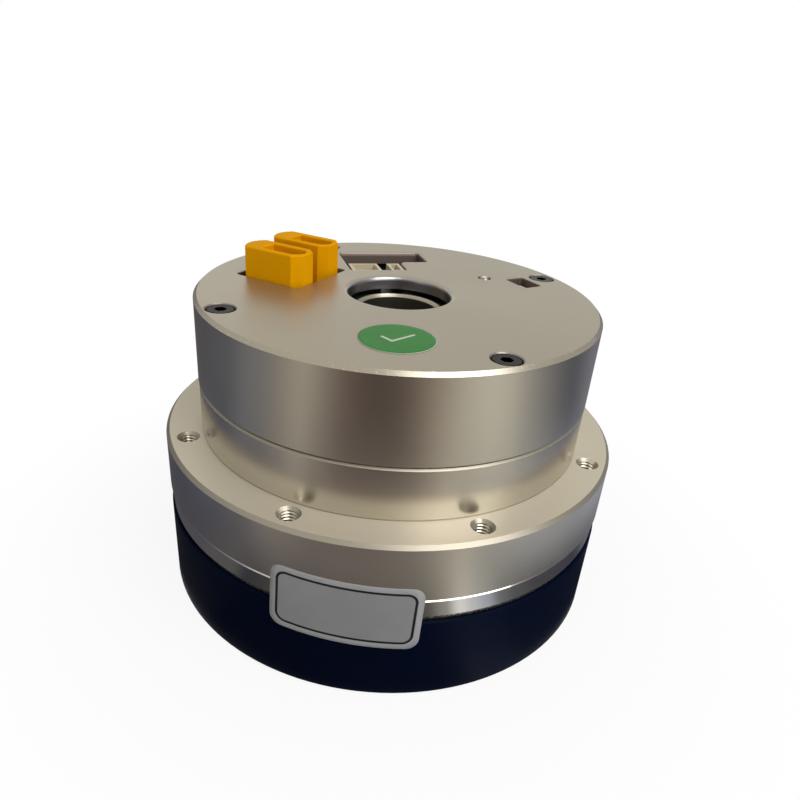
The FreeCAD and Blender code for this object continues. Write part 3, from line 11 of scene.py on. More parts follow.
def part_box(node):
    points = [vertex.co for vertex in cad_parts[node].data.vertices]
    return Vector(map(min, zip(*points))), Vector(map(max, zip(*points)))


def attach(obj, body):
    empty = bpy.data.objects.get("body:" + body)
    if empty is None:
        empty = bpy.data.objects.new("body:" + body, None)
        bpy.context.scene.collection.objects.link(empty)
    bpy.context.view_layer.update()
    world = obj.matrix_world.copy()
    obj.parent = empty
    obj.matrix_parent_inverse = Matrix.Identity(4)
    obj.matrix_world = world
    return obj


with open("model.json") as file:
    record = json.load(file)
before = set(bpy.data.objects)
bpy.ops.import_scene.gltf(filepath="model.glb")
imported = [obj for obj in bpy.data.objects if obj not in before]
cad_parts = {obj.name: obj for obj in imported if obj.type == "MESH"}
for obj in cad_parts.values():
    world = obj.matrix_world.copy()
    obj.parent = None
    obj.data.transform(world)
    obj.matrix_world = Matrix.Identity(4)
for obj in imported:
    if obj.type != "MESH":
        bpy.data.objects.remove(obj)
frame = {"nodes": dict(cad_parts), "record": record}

bl_info = {
    "name": "Robot joint dressing",
    "version": (1, 0, 0),
    "blender": (4, 5, 0),
    "location": "View3D > Sidebar > Robot joint",
    "description": "Finishes, labels and threads of a hollow-shaft robot joint",
    "category": "Object",
}

MM = 0.001
MOUNTS = {mount["name"]: mount for mount in frame["record"]["mounts"]}
BODY_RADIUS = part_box("main_housing")[1][0]
FLANGE_TOP = MOUNTS["flange_bolts"]["pos_m"][2]
COVER_RADIUS, COVER_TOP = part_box("rear_cover")[1][0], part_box("rear_cover")[1][2]
TUBE_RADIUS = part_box("centre_tube")[1][0]
# Top of the lip below the polished ring, which is painted dark, and thickness of the label and
# the sticker.
LIP_TOP = 14.1 * MM
FILM = 0.05 * MM


# Values that a user would change.
class JointFinishes(bpy.types.PropertyGroup):
    """Colours of the joint's finishes, in linear light."""

    aluminium: bpy.props.FloatVectorProperty(
        name="Aluminium", description="Clear anodised aluminium", subtype="COLOR",
        size=3, min=0, max=1, default=(0.50, 0.455, 0.37))
    black: bpy.props.FloatVectorProperty(
        name="Black housing", description="Black anodised gear housing", subtype="COLOR",
        size=3, min=0, max=1, default=(0.0008, 0.0032, 0.0150))
    steel: bpy.props.FloatVectorProperty(
        name="Polished steel", description="Rim of the flexspline", subtype="COLOR",
        size=3, min=0, max=1, default=(0.62, 0.60, 0.56))
    yellow: bpy.props.FloatVectorProperty(
        name="Power sockets", description="Yellow moulded nylon", subtype="COLOR",
        size=3, min=0, max=1, default=(0.88, 0.39, 0.0005))
    cream: bpy.props.FloatVectorProperty(
        name="Signal connectors", description="Cream moulded nylon", subtype="COLOR",
        size=3, min=0, max=1, default=(0.68, 0.59, 0.44))
    label: bpy.props.FloatVectorProperty(
        name="Side label", description="Silver film of the label", subtype="COLOR",
        size=3, min=0, max=1, default=(0.27, 0.27, 0.28))
    sticker: bpy.props.FloatVectorProperty(
        name="Round sticker", description="Green print of the round sticker", subtype="COLOR",
        size=3, min=0, max=1, default=(0.028, 0.225, 0.036))


class JointSizes(bpy.types.PropertyGroup):
    """Sizes and places of the pieces that are added here."""

    label_width: bpy.props.FloatProperty(
        name="Label width", description="Arc length of the side label", unit="LENGTH",
        default=20.3 * MM, min=5 * MM, max=40 * MM)
    label_height: bpy.props.FloatProperty(
        name="Label height", description="Height of the side label", unit="LENGTH",
        default=10.15 * MM, min=3 * MM, max=20 * MM)
    label_angle: bpy.props.FloatProperty(
        name="Label angle", description="Where the middle of the side label is", subtype="ANGLE",
        default=math.radians(-96.6))
    label_level: bpy.props.FloatProperty(
        name="Label level", description="Height of the middle of the side label", unit="LENGTH",
        default=14.2 * MM, min=8 * MM, max=18 * MM)
    label_tilt: bpy.props.FloatProperty(
        name="Label tilt", description="Turn of the label in its own surface", subtype="ANGLE",
        default=math.radians(-2.1))
    sticker_radius: bpy.props.FloatProperty(
        name="Sticker radius", description="Radius of the round sticker", unit="LENGTH",
        default=5.0 * MM, min=2 * MM, max=8 * MM)
    sticker_place: bpy.props.FloatVectorProperty(
        name="Sticker place", description="Middle of the round sticker on the cover", size=2,
        subtype="XYZ_LENGTH", default=(0.14 * MM, -19.54 * MM))
    thread_pitch: bpy.props.FloatProperty(
        name="Thread pitch", description="Pitch of the M3 threads", unit="LENGTH",
        default=0.5 * MM, min=0.3 * MM, max=1 * MM)


# Meshes from arrays.
def make_object(name, points, faces, body=None, uv=None):
    """A smooth mesh object from an array of points and a list of faces, riding on a body."""
    mesh = bpy.data.meshes.new(name)
    mesh.from_pydata(points.tolist(), [], faces)
    mesh.update()
    if uv is not None:
        layer = mesh.uv_layers.new(name="surface")
        corners = np.zeros(len(mesh.loops), dtype=np.int64)
        mesh.loops.foreach_get("vertex_index", corners)
        layer.data.foreach_set("uv", uv[corners].astype(np.float32).ravel())
    mesh.polygons.foreach_set("use_smooth", np.full(len(mesh.polygons), True))
    made = bpy.data.objects.new(name, mesh)
    bpy.context.scene.collection.objects.link(made)
    if body:
        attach(made, body)
    return made


def make_film(name, points, faces, flat):
    """A thin film on the housing, with its wall behind its face and its flat points as UVs."""
    film = make_object(name, points, faces, "housing", uv=flat)
    wall = film.modifiers.new("thickness", "SOLIDIFY")
    wall.thickness = FILM
    wall.offset = -1
    return film


def grid_faces(rows, columns, wrap_rows=False):
    """Quads of a grid of points that closes round its columns.

    Point (i, j) has the number i * columns + j.
    """
    i = np.arange(rows if wrap_rows else rows - 1)
    i, j = [a.ravel() for a in np.meshgrid(i, np.arange(columns), indexing="ij")]
    next_i, next_j = (i + 1) % rows, (j + 1) % columns
    return np.stack([i * columns + j, i * columns + next_j,
                     next_i * columns + next_j, next_i * columns + j], axis=1).tolist()


def turned_surface(radius, height, turn):
    """Points and faces of a profile of radii, carried round the axis.

    Point (i, j) is (radius[i] * cos(turn[j]), radius[i] * sin(turn[j]), height[i, j]).
    """
    points = np.stack([np.outer(radius, np.cos(turn)), np.outer(radius, np.sin(turn)), height],
                      axis=-1).reshape(-1, 3)
    return points, grid_faces(len(radius), len(turn))


def round_turn(count):
    """Angles of even steps once round."""
    return np.linspace(0, 2 * math.pi, count, endpoint=False)


def rounded_outline(half_width, half_height, radius, per_corner=10, per_side=24):
    """Outline of a rounded rectangle: straight sides joined by quarter circles."""
    turns = np.linspace(0, math.pi / 2, per_corner)
    corners = []
    for quarter, (sx, sy) in enumerate([(1, 1), (-1, 1), (-1, -1), (1, -1)]):
        angle = turns + quarter * math.pi / 2
        corners.append(np.stack([sx * (half_width - radius) + radius * np.cos(angle),
                                 sy * (half_height - radius) + radius * np.sin(angle)], axis=1))
    share = np.linspace(0, 1, per_side)[1:-1, None]
    pieces = []
    for quarter in range(4):
        last, first = corners[quarter][-1], corners[(quarter + 1) % 4][0]
        pieces += [corners[quarter], last + (first - last) * share]
    return np.concatenate(pieces)


def sheet_from_outline(outline, rings):
    """Points and faces of a flat sheet: the outline shrunk to its middle in even rings.

    Ring k lies at the share 1 - k / rings of the way from the middle to the outline,
    and the middle itself closes the sheet.
    """
    count = len(outline)
    shares = np.linspace(1, 0, rings + 1)[:-1]
    points = (shares[:, None, None] * outline[None]).reshape(-1, 2)
    points = np.concatenate([points, [[0.0, 0.0]]])
    ring = np.arange(count)
    last = (rings - 1) * count
    fan = np.stack([last + ring, last + (ring + 1) % count, np.full(count, rings * count)],
                   axis=1)
    return points, grid_faces(rings, count) + fan.tolist()


# Node trees.
def put(tree, kind, inputs=None, **settings):
    """Add a node. Inputs are plain values, or the sockets that feed them."""
    node = tree.nodes.new(kind)
    for name, value in settings.items():
        setattr(node, name, value)
    for key, value in (inputs or {}).items():
        if isinstance(value, bpy.types.NodeSocket):
            tree.links.new(value, node.inputs[key])
        else:
            node.inputs[key].default_value = value
    return node


def math_node(tree, operation, *values):
    """The result of a math node."""
    return put(tree, "ShaderNodeMath", dict(enumerate(values)), operation=operation).outputs[0]


def vector_node(tree, operation, *values):
    """The result of a vector math node."""
    node = put(tree, "ShaderNodeVectorMath", dict(enumerate(values)), operation=operation)
    plain = operation in ("LENGTH", "DISTANCE", "DOT_PRODUCT")
    return node.outputs["Value" if plain else "Vector"]


def product(tree, first, *others):
    """Values multiplied with each other."""
    for other in others:
        first = math_node(tree, "MULTIPLY", first, other)
    return first


def rest_of(tree, share):
    """One minus a share."""
    return math_node(tree, "SUBTRACT", 1.0, share)


def ramp(tree, value, low, high, bottom=0.0, top=1.0):
    """A value mapped smoothly from a range to another."""
    return put(tree, "ShaderNodeMapRange",
               {"Value": value, "From Min": low, "From Max": high,
                "To Min": bottom, "To Max": top},
               interpolation_type="SMOOTHSTEP").outputs[0]


def fade(tree, value, low, high):
    """One below a range, zero above it, and smooth between."""
    return ramp(tree, value, low, high, 1, 0)


def mix_colour(tree, share, first, second):
    """A blend of two colours."""
    node = put(tree, "ShaderNodeMix", {"Factor": share}, data_type="RGBA")
    for index, value in ((6, first), (7, second)):
        if isinstance(value, bpy.types.NodeSocket):
            tree.links.new(value, node.inputs[index])
        else:
            node.inputs[index].default_value = (*value[:3], 1)
    return node.outputs[2]


def mix_level(tree, share, first, second):
    """A blend of two numbers."""
    return put(tree, "ShaderNodeMix", {0: share, 2: first, 3: second},
               data_type="FLOAT").outputs[0]


def noise(tree, place, scale, detail, roughness):
    """Cloud-like noise, with its middle at 0.5."""
    return put(tree, "ShaderNodeTexNoise", {"Vector": place, "Scale": scale, "Detail": detail,
                                            "Roughness": roughness}).outputs[0]


def scaled(colour, factor):
    """A colour made lighter or darker."""
    return tuple(min(1, channel * factor) for channel in colour[:3])


# Places on a piece, in millimetres.
def object_place(tree):
    """The point on the piece."""
    place = put(tree, "ShaderNodeTexCoord").outputs["Object"]
    return vector_node(tree, "MULTIPLY", place, (1 / MM, 1 / MM, 1 / MM))


def film_place(tree):
    """The point on a flat film, from its middle."""
    return put(tree, "ShaderNodeUVMap", uv_map="surface").outputs[0]


def split(tree, vector):
    """The three parts of a vector."""
    return put(tree, "ShaderNodeSeparateXYZ", {0: vector}).outputs


def seen_from_above(tree, place):
    """A point with its height taken away."""
    return vector_node(tree, "MULTIPLY", place, (1, 1, 0))


def from_axis(tree, place):
    """Distance of a point from the joint's axis."""
    return vector_node(tree, "LENGTH", seen_from_above(tree, place))


def from_line(tree, place, first, last):
    """Distance of a point in the plane from the straight line between two points."""
    way = Vector((last[0] - first[0], last[1] - first[1], 0))
    offset = vector_node(tree, "SUBTRACT", place, (*first, 0))
    along = math_node(tree, "DIVIDE", vector_node(tree, "DOT_PRODUCT", offset, tuple(way)),
                      way.length_squared)
    share = put(tree, "ShaderNodeClamp", {0: along}).outputs[0]
    foot = put(tree, "ShaderNodeVectorMath", {0: tuple(way)}, operation="SCALE")
    tree.links.new(share, foot.inputs["Scale"])
    return vector_node(tree, "DISTANCE", offset, foot.outputs[0])


def upward(tree):
    """How far a face looks up, from -1 to 1."""
    return split(tree, put(tree, "ShaderNodeNewGeometry").outputs["True Normal"])[2]


def level_share(tree):
    """One on faces square to the axis, and zero on those round it."""
    return ramp(tree, math_node(tree, "ABSOLUTE", upward(tree)), 0.6, 0.8)


# Shared node groups, by name.
GROUPS = {}


def new_group(name, inputs, outputs):
    """A node group with number sockets. Inputs come with their defaults."""
    group = bpy.data.node_groups.new(name, "ShaderNodeTree")
    for label, default in inputs.items():
        socket = group.interface.new_socket(label, in_out="INPUT", socket_type="NodeSocketFloat")
        socket.default_value = default
    for label in outputs:
        group.interface.new_socket(label, in_out="OUTPUT", socket_type="NodeSocketFloat")
    return group, group.nodes.new("NodeGroupInput"), group.nodes.new("NodeGroupOutput")


def grain_group():
    """Fine grain and soft cloudiness of a blasted, moulded or ground surface.

    Mask is fine noise. Cloud is large soft noise.
    """
    group, start, end = new_group(
        "surface_grain", {"Grain per mm": 6.0, "Cloud per mm": 0.06}, ("Mask", "Cloud"))
    place = object_place(group)
    group.links.new(noise(group, place, start.outputs[0], 3.0, 0.6), end.inputs[0])
    group.links.new(noise(group, place, start.outputs[1], 3.0, 0.55), end.inputs[1])
    return group


def lathe_group():
    """Marks of the turning tool.

    A one-dimensional noise of the radius on faces square to the axis, and of the
    height on faces round it.
    """
    group, start, end = new_group("lathe_marks", {"Marks per mm": 8.0}, ("Marks",))
    place = object_place(group)
    along = mix_level(group, level_share(group), split(group, place)[2], from_axis(group, place))
    line = put(group, "ShaderNodeCombineXYZ", {0: along}).outputs[0]
    group.links.new(noise(group, line, start.outputs[0], 5.0, 0.75), end.inputs[0])
    return group


def effect(tree, name, **inputs):
    """Place a shared node group in a material."""
    node = put(tree, "ShaderNodeGroup", node_tree=GROUPS[name])
    for key, value in inputs.items():
        node.inputs[key.replace("_", " ")].default_value = value
    return node


# Materials.
def new_material(name, base, metallic, roughness, **constants):
    """A material with a plain shader. Returns the material, its tree and the shader."""
    material = bpy.data.materials.new(name)
    material.use_nodes = True
    tree = material.node_tree
    shader = tree.nodes["Principled BSDF"]
    shader.inputs["Base Color"].default_value = (*base[:3], 1)
    shader.inputs["Metallic"].default_value = metallic
    shader.inputs["Roughness"].default_value = roughness
    for key, value in constants.items():
        shader.inputs[key.replace("_", " ")].default_value = value
    return material, tree, shader


def bump(tree, shader, height, relief):
    """Feed a height into the shader's normal. Relief is its depth in millimetres."""
    node = put(tree, "ShaderNodeBump", {"Strength": 1.0, "Distance": relief * MM,
                                        "Height": height})
    tree.links.new(node.outputs[0], shader.inputs["Normal"])


def finish(name, base, metallic, roughness, grain=6.0, uneven=0.06, tint=0.1, relief=0.002,
           marks=0.0, marks_per_mm=8.0, **constants):
    """A finish with grain, cloudy tone and, where wanted, turning marks.

    Uneven is how far the roughness varies, tint how far the tone does, and marks the
    share of the turning marks in the relief. Where the finish is anisotropic, the
    grooves run round the axis, so that the light spreads across them.
    """
    material, tree, shader = new_material(name, base, metallic, roughness, **constants)
    if "Anisotropic" in constants:
        round_axis = put(tree, "ShaderNodeTangent", direction_type="RADIAL", axis="Z")
        tree.links.new(round_axis.outputs[0], shader.inputs["Tangent"])
        shader.inputs["Anisotropic Rotation"].default_value = 0.25
    surface = effect(tree, "grain", Grain_per_mm=grain)
    height, cloud = surface.outputs["Mask"], surface.outputs["Cloud"]
    rough = ramp(tree, cloud, 0.25, 0.75, roughness - uneven, roughness + uneven)
    if marks:
        lathe = effect(tree, "lathe", Marks_per_mm=marks_per_mm).outputs["Marks"]
        height = math_node(tree, "ADD", product(tree, height, 1 - marks),
                           product(tree, lathe, marks))
        rough = math_node(tree, "ADD", rough, ramp(tree, lathe, 0.3, 0.7, -uneven, uneven))
    tree.links.new(rough, shader.inputs["Roughness"])
    tone = mix_colour(tree, ramp(tree, cloud, 0.2, 0.8), scaled(base, 1 - tint),
                      scaled(base, 1 + tint * 0.5))
    tree.links.new(tone, shader.inputs["Base Color"])
    bump(tree, shader, height, relief)
    return material, tree, shader


def zone(tree, shader, share, colour=None, **levels):
    """Change a finish where the share is one: its colour, and levels such as roughness."""
    if colour is not None:
        source = shader.inputs["Base Color"]
        was = source.links[0].from_socket if source.links else tuple(source.default_value)
        tree.links.new(mix_colour(tree, share, was, colour), source)
    for name, level in levels.items():
        source = shader.inputs[name]
        was = source.links[0].from_socket if source.links else source.default_value
        tree.links.new(mix_level(tree, share, was, level), source)


def machined_finish(base):
    """Turned and anodised aluminium of the flange.

    Its top scatters more light and is painted lighter, the neck is smoother than the rest
    and has a painted reflection at its foot, a thin line of painted shade runs round the
    corner between them, and the chamfers are duller and painted darker.
    """
    material, tree, shader = finish(
        "machined_aluminium", base, 1, 0.30, grain=7, uneven=0.03, tint=0.05, relief=0.0015,
        marks=0.35, marks_per_mm=7, Anisotropic=0.4)
    height = split(tree, object_place(tree))[2]
    level = level_share(tree)
    flange = FLANGE_TOP / MM
    neck = product(tree, ramp(tree, height, flange - 0.1, flange + 0.1), rest_of(tree, level))
    zone(tree, shader, neck, Roughness=0.27)
    # Painted reflection: the foot of the neck is painted paler, as if it mirrored the bright
    # flange top.
    foot = product(tree, neck, fade(tree, height, flange + 2.0, flange + 4.2))
    zone(tree, shader, foot, (0.64, 0.61, 0.54))
    # Painted shade: a thin dark line in the corner where the neck meets the flange top.
    corner = product(tree, neck, fade(tree, height, flange + 0.12, flange + 0.22))
    zone(tree, shader, corner, (0.36, 0.32, 0.26), Roughness=0.4)
    # Painted light: the level faces are painted lighter than the walls, on top of their duller,
    # less metallic finish.
    zone(tree, shader, level, scaled(base, 1.35), Metallic=0.45, Roughness=0.42)
    up = upward(tree)
    # Painted shade: the chamfers are painted darker, which dims their highlight; they are also
    # rougher.
    chamfer_shade = product(tree, ramp(tree, up, 0.55, 0.65), fade(tree, up, 0.78, 0.88))
    zone(tree, shader, chamfer_shade, scaled(base, 0.85), Metallic=0.8, Roughness=0.42)
    return material


def blasted_finish(base):
    """Blasted and anodised aluminium of the cover.

    The walls of its openings are milled and carry painted shade, which is darker and
    brown away from the tube, where the walls are also duller. Its top is painted a
    little darker than its side, and its rim has worn spots.
    """
    material, tree, shader = finish(
        "blasted_aluminium", base, 1, 0.33, grain=9, uneven=0.03, tint=0.05, relief=0.0015,
        marks=0.2, marks_per_mm=7, Anisotropic=0.5)
    place = object_place(tree)
    radius, height, level = from_axis(tree, place), split(tree, place)[2], level_share(tree)
    side, top, tube = COVER_RADIUS / MM, COVER_TOP / MM, TUBE_RADIUS / MM
    wall = product(tree, fade(tree, radius, side - 1.05, side - 0.65), rest_of(tree, level))
    # Painted shade: the level faces are painted a little darker than the side.
    zone(tree, shader, level, scaled(base, 0.93), Metallic=0.85)
    # Painted shade: the walls of the openings are painted a bluish grey.
    zone(tree, shader, wall, (0.40, 0.40, 0.42))
    # Painted shade, darker and brown, where the walls of the openings lie away from the tube.
    pocket_shade = product(tree, wall, ramp(tree, radius, tube + 2.3, tube + 2.8))
    zone(tree, shader, pocket_shade, (0.17, 0.125, 0.11), Metallic=0.5, Roughness=0.5)
    worn = product(tree, ramp(tree, noise(tree, place, 1.5, 5.0, 0.75), 0.6, 0.66),
                   ramp(tree, radius, side - 0.6, side - 0.45),
                   ramp(tree, height, top - 0.62, top - 0.5))
    zone(tree, shader, worn, (0.78, 0.75, 0.68), Roughness=0.28)
    return material


def polished_finish(base):
    """Polished steel of the flexspline's rim, with a rough lip below its bright band that is
    painted dark and dotted with painted glints.
    """
    material, tree, shader = finish(
        "polished_steel", base, 1, 0.12, grain=12, uneven=0.03, tint=0.05, relief=0.0003,
        marks=0.8, marks_per_mm=10, Anisotropic=0.5)
    place = object_place(tree)
    lip_top, rim_start = LIP_TOP / MM, 30
    # Painted shade and painted glints: the lip is painted dark, dotted with bright painted
    # glints, and rougher.
    lip = product(tree, fade(tree, split(tree, place)[2], lip_top - 0.03, lip_top + 0.03),
                  ramp(tree, from_axis(tree, place), rim_start, rim_start + 1))
    glint_specks = ramp(tree, noise(tree, place, 5.0, 4.0, 0.8), 0.5, 0.62)
    zone(tree, shader, lip, mix_colour(tree, glint_specks, (0.14, 0.125, 0.11), (0.75, 0.7, 0.6)),
         Roughness=0.3)
    return material


def tube_finish(base):
    """Turned aluminium tube, duller within and painted darker there as shade."""
    material, tree, shader = finish("tube_aluminium", scaled(base, 1.1), 1, 0.26, marks=0.8,
                                    relief=0.0015)
    radius = from_axis(tree, object_place(tree))
    outer = TUBE_RADIUS / MM
    # Painted shade: the bore of the tube is painted darker, besides being rougher.
    inside_shade = product(tree, fade(tree, radius, outer - 0.45, outer - 0.35),
                     rest_of(tree, level_share(tree)))
    zone(tree, shader, inside_shade, scaled(base, 0.35), Roughness=0.45)
    return material


def light_finish(base):
    """Status light: a milky core in a bezel of the cover's tone."""
    material, tree, shader = finish("clear_resin", (0.85, 0.86, 0.82), 0, 0.2, relief=0.0005)
    low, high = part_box("status_light")
    middle = [(a + b) / 2 / MM for a, b in zip(low[:2], high[:2])]
    reach = vector_node(tree, "DISTANCE", seen_from_above(tree, object_place(tree)),
                        (*middle, 0))
    zone(tree, shader, ramp(tree, reach, 0.42, 0.5), scaled(base, 0.7), Metallic=1.0,
         Roughness=0.35)
    return material


# Finishes without zones: base colour, metallic, roughness, relief and turning marks.
PLAIN_FINISHES = {
    "output_steel": ((0.42, 0.42, 0.43), 1, 0.35, 0.0015, 0.8),
    "gear_steel": ((0.45, 0.45, 0.46), 1, 0.33, 0.001, 0.6),
    "bearing_steel": ((0.6, 0.6, 0.62), 1, 0.14, 0.0005, 0.7),
    "bright_steel": ((0.6, 0.6, 0.6), 1, 0.25, 0.0008, 0.5),
    "black_steel": ((0.0105, 0.0098, 0.0092), 1, 0.36, 0.002, 0),
    "lamination_steel": ((0.2, 0.2, 0.22), 0.8, 0.45, 0.002, 0),
    "copper_winding": ((0.72, 0.32, 0.14), 1, 0.3, 0.004, 0),
    "magnet_plating": ((0.5, 0.5, 0.5), 1, 0.25, 0.001, 0),
    "ring_magnet": ((0.05, 0.05, 0.055), 0, 0.55, 0.003, 0),
    "seal_rubber": ((0.02, 0.02, 0.02), 0, 0.6, 0.003, 0),
    "board_laminate": ((0.012, 0.035, 0.022), 0, 0.35, 0.002, 0),
    "plated_brass": ((0.62, 0.6, 0.52), 1, 0.25, 0.001, 0),
    "plated_contact": ((0.8, 0.62, 0.28), 1, 0.2, 0.0005, 0),
    "black_resin": ((0.02, 0.02, 0.022), 0, 0.45, 0.002, 0),
    "lead_insulation": ((0.5, 0.05, 0.04), 0, 0.4, 0.001, 0),
}
# Nodes that look different from the rest of their material slot.
OWN_FINISHES = {"service_header": "cream_nylon"}


def slot_finishes(colours):
    """One material for each material slot of the record."""
    finishes = {
        "machined_aluminium": machined_finish(colours.aluminium),
        "blasted_aluminium": blasted_finish(colours.aluminium),
        "black_anodised": finish(
            "black_anodised", colours.black, 0, 0.42, grain=8, uneven=0.05, tint=0.2,
            relief=0.002, marks=0.4, Specular_IOR_Level=0.03)[0],
        "polished_steel": polished_finish(colours.steel),
        "tube_aluminium": tube_finish(colours.aluminium),
        "yellow_plastic": finish(
            "yellow_plastic", colours.yellow, 0, 0.5, grain=5, uneven=0.05, tint=0.05,
            relief=0.003, Specular_IOR_Level=0.01)[0],
        "cream_nylon": finish("cream_nylon", colours.cream, 0, 0.45, relief=0.002)[0],
        "clear_resin": light_finish(colours.aluminium),
    }
    for name, (base, metallic, roughness, relief, marks) in PLAIN_FINISHES.items():
        finishes[name] = finish(name, base, metallic, roughness, relief=relief, marks=marks)[0]
    return finishes


class JOINT_OT_finishes(bpy.types.Operator):
    """Give every CAD part its finish"""

    bl_idname = "joint.finishes"
    bl_label = "Finish the CAD parts"

    def execute(self, context):
        GROUPS["grain"] = grain_group()
        GROUPS["lathe"] = lathe_group()
        finishes = slot_finishes(context.scene.joint_finishes)
        for entry in frame["record"]["subparts"]:
            name = OWN_FINISHES.get(entry["node"], entry["material_slot"])
            for holder in frame["nodes"][entry["node"]].material_slots:
                holder.material = finishes[name]
        return {"FINISHED"}


def film_surface(tree, shader, colour, grain, cloud, relief):
    """Slightly uneven tone and fine relief of a printed film."""
    surface = effect(tree, "grain", Grain_per_mm=grain, Cloud_per_mm=cloud)
    tone = mix_colour(tree, ramp(tree, surface.outputs["Cloud"], 0.3, 0.7),
                      scaled(colour, 0.9), colour)
    tree.links.new(tone, shader.inputs["Base Color"])
    bump(tree, shader, surface.outputs["Mask"], relief)


class JOINT_OT_label(bpy.types.Operator):
    """Lay the bare label round the side of the joint"""

    bl_idname = "joint.label"
    bl_label = "Add the side label"

    def execute(self, context):
        sizes = context.scene.joint_sizes
        half = (sizes.label_width / 2 / MM, sizes.label_height / 2 / MM)
        # The corners of the label, and the inset, corners and half width of its printed line.
        corner, line_inset, line_corner, line_half = 1.7, 1.0, 1.3, 0.18
        flat, faces = sheet_from_outline(rounded_outline(*half, corner), 12)
        # Turned in its own surface, then wrapped: the way across becomes an angle round
        # the axis, and the way along a height.
        turn = sizes.label_tilt
        across = flat[:, 0] * math.cos(turn) - flat[:, 1] * math.sin(turn)
        along = flat[:, 0] * math.sin(turn) + flat[:, 1] * math.cos(turn)
        radius = BODY_RADIUS + 0.7 * FILM
        angle = sizes.label_angle + across * MM / radius
        points = np.stack([radius * np.cos(angle), radius * np.sin(angle),
                           sizes.label_level + along * MM], axis=1)
        label = make_film("side_label", points, faces, flat)
        colour = tuple(context.scene.joint_finishes.label)
        material, tree, shader = new_material("label_film", colour, 0.0, 0.38)
        film_surface(tree, shader, colour, 3.0, 0.15, 0.0015)
        inner = (half[0] - line_inset - line_corner, half[1] - line_inset - line_corner, 0)
        beyond = vector_node(tree, "SUBTRACT", vector_node(tree, "ABSOLUTE", film_place(tree)),
                             inner)
        reach = vector_node(tree, "LENGTH", vector_node(tree, "MAXIMUM", beyond, (0, 0, 0)))
        zone(tree, shader, ramp(tree, reach, line_corner - 0.1, line_corner + 0.1),
             scaled(colour, 1.25))
        off_line = math_node(tree, "ABSOLUTE", math_node(tree, "SUBTRACT", reach, line_corner))
        zone(tree, shader, fade(tree, off_line, line_half - 0.04, line_half + 0.04),
             (0.004, 0.004, 0.005))
        label.data.materials.append(material)
        return {"FINISHED"}


class JOINT_OT_sticker(bpy.types.Operator):
    """Lay the round sticker with a plain tick on the cover"""

    bl_idname = "joint.sticker"
    bl_label = "Add the round sticker"

    def execute(self, context):
        sizes = context.scene.joint_sizes
        radius = sizes.sticker_radius / MM
        tick = ((-1.9, 0.2), (-0.6, -1.1), (2.1, 1.5))
        angle = round_turn(96)
        flat, faces = sheet_from_outline(
            radius * np.stack([np.cos(angle), np.sin(angle)], axis=1), 10)
        middle = np.array([*sizes.sticker_place, COVER_TOP + 1.2 * FILM])
        points = np.column_stack([flat * MM, np.zeros(len(flat))]) + middle
        sticker = make_film("round_sticker", points, faces, flat)
        colour = tuple(context.scene.joint_finishes.sticker)
        material, tree, shader = new_material("sticker_print", colour, 0, 0.4,
                                              Specular_IOR_Level=0.2)
        film_surface(tree, shader, colour, 4.0, 0.3, 0.001)
        place = film_place(tree)
        reach = vector_node(tree, "LENGTH", place)
        zone(tree, shader, ramp(tree, reach, radius - 0.14, radius - 0.07), (0.5, 0.55, 0.45))
        stroke = math_node(tree, "MINIMUM", from_line(tree, place, tick[0], tick[1]),
                           from_line(tree, place, tick[1], tick[2]))
        zone(tree, shader, fade(tree, stroke, 0.16, 0.24), (0.6, 0.66, 0.55))
        sticker.data.materials.append(material)
        return {"FINISHED"}


def thread_lining(place, drilled, length, pitch, direction):
    """Points and faces of a thread's ridges in one hole.

    The inner wall lies at drilled - depth * wave(rise / pitch - turn), with a wave
    that rises and falls evenly, and runs out to the hole's wall at both ends. The outer
    wall is the hole's own.
    """
    turns, steps, depth, run_out = 36, 12, 0.2 * MM, 0.6 * pitch
    rows = int(round(length / pitch * steps))
    rise, spin = np.meshgrid(np.linspace(0, length, rows + 1), round_turn(turns), indexing="ij")
    wave = np.abs(((rise / pitch - direction * spin / (2 * math.pi)) % 1.0) * 2 - 1)
    ends = np.clip(np.minimum(rise, length - rise) / run_out, 0, 1)
    inner = drilled * 0.995 - depth * np.clip(wave * 1.3 - 0.1, 0, 1) * ends
    radius = np.concatenate([inner, np.full((2, turns), drilled)])
    # The last two rings are the edges of the hole's wall.
    rise, spin = np.concatenate([rise, rise[-1:], rise[:1]]), spin[:1]
    points = np.stack([radius * np.cos(spin), radius * np.sin(spin), direction * rise], axis=-1)
    return points.reshape(-1, 3) + np.array(place), grid_faces(rows + 3, turns, wrap_rows=True)


# Pieces of thread: name, body, mount, way into the hole along the axis, length of the
# thread, its start below the face, and the angle of the first hole in degrees.
THREADS = (("flange_threads", "housing", "flange_bolts", -1, 5.4 * MM, 0.42 * MM, -156.5),
           ("output_threads", "output", "output_bolts", 1, 3.0 * MM, 0.15 * MM, 0.0))


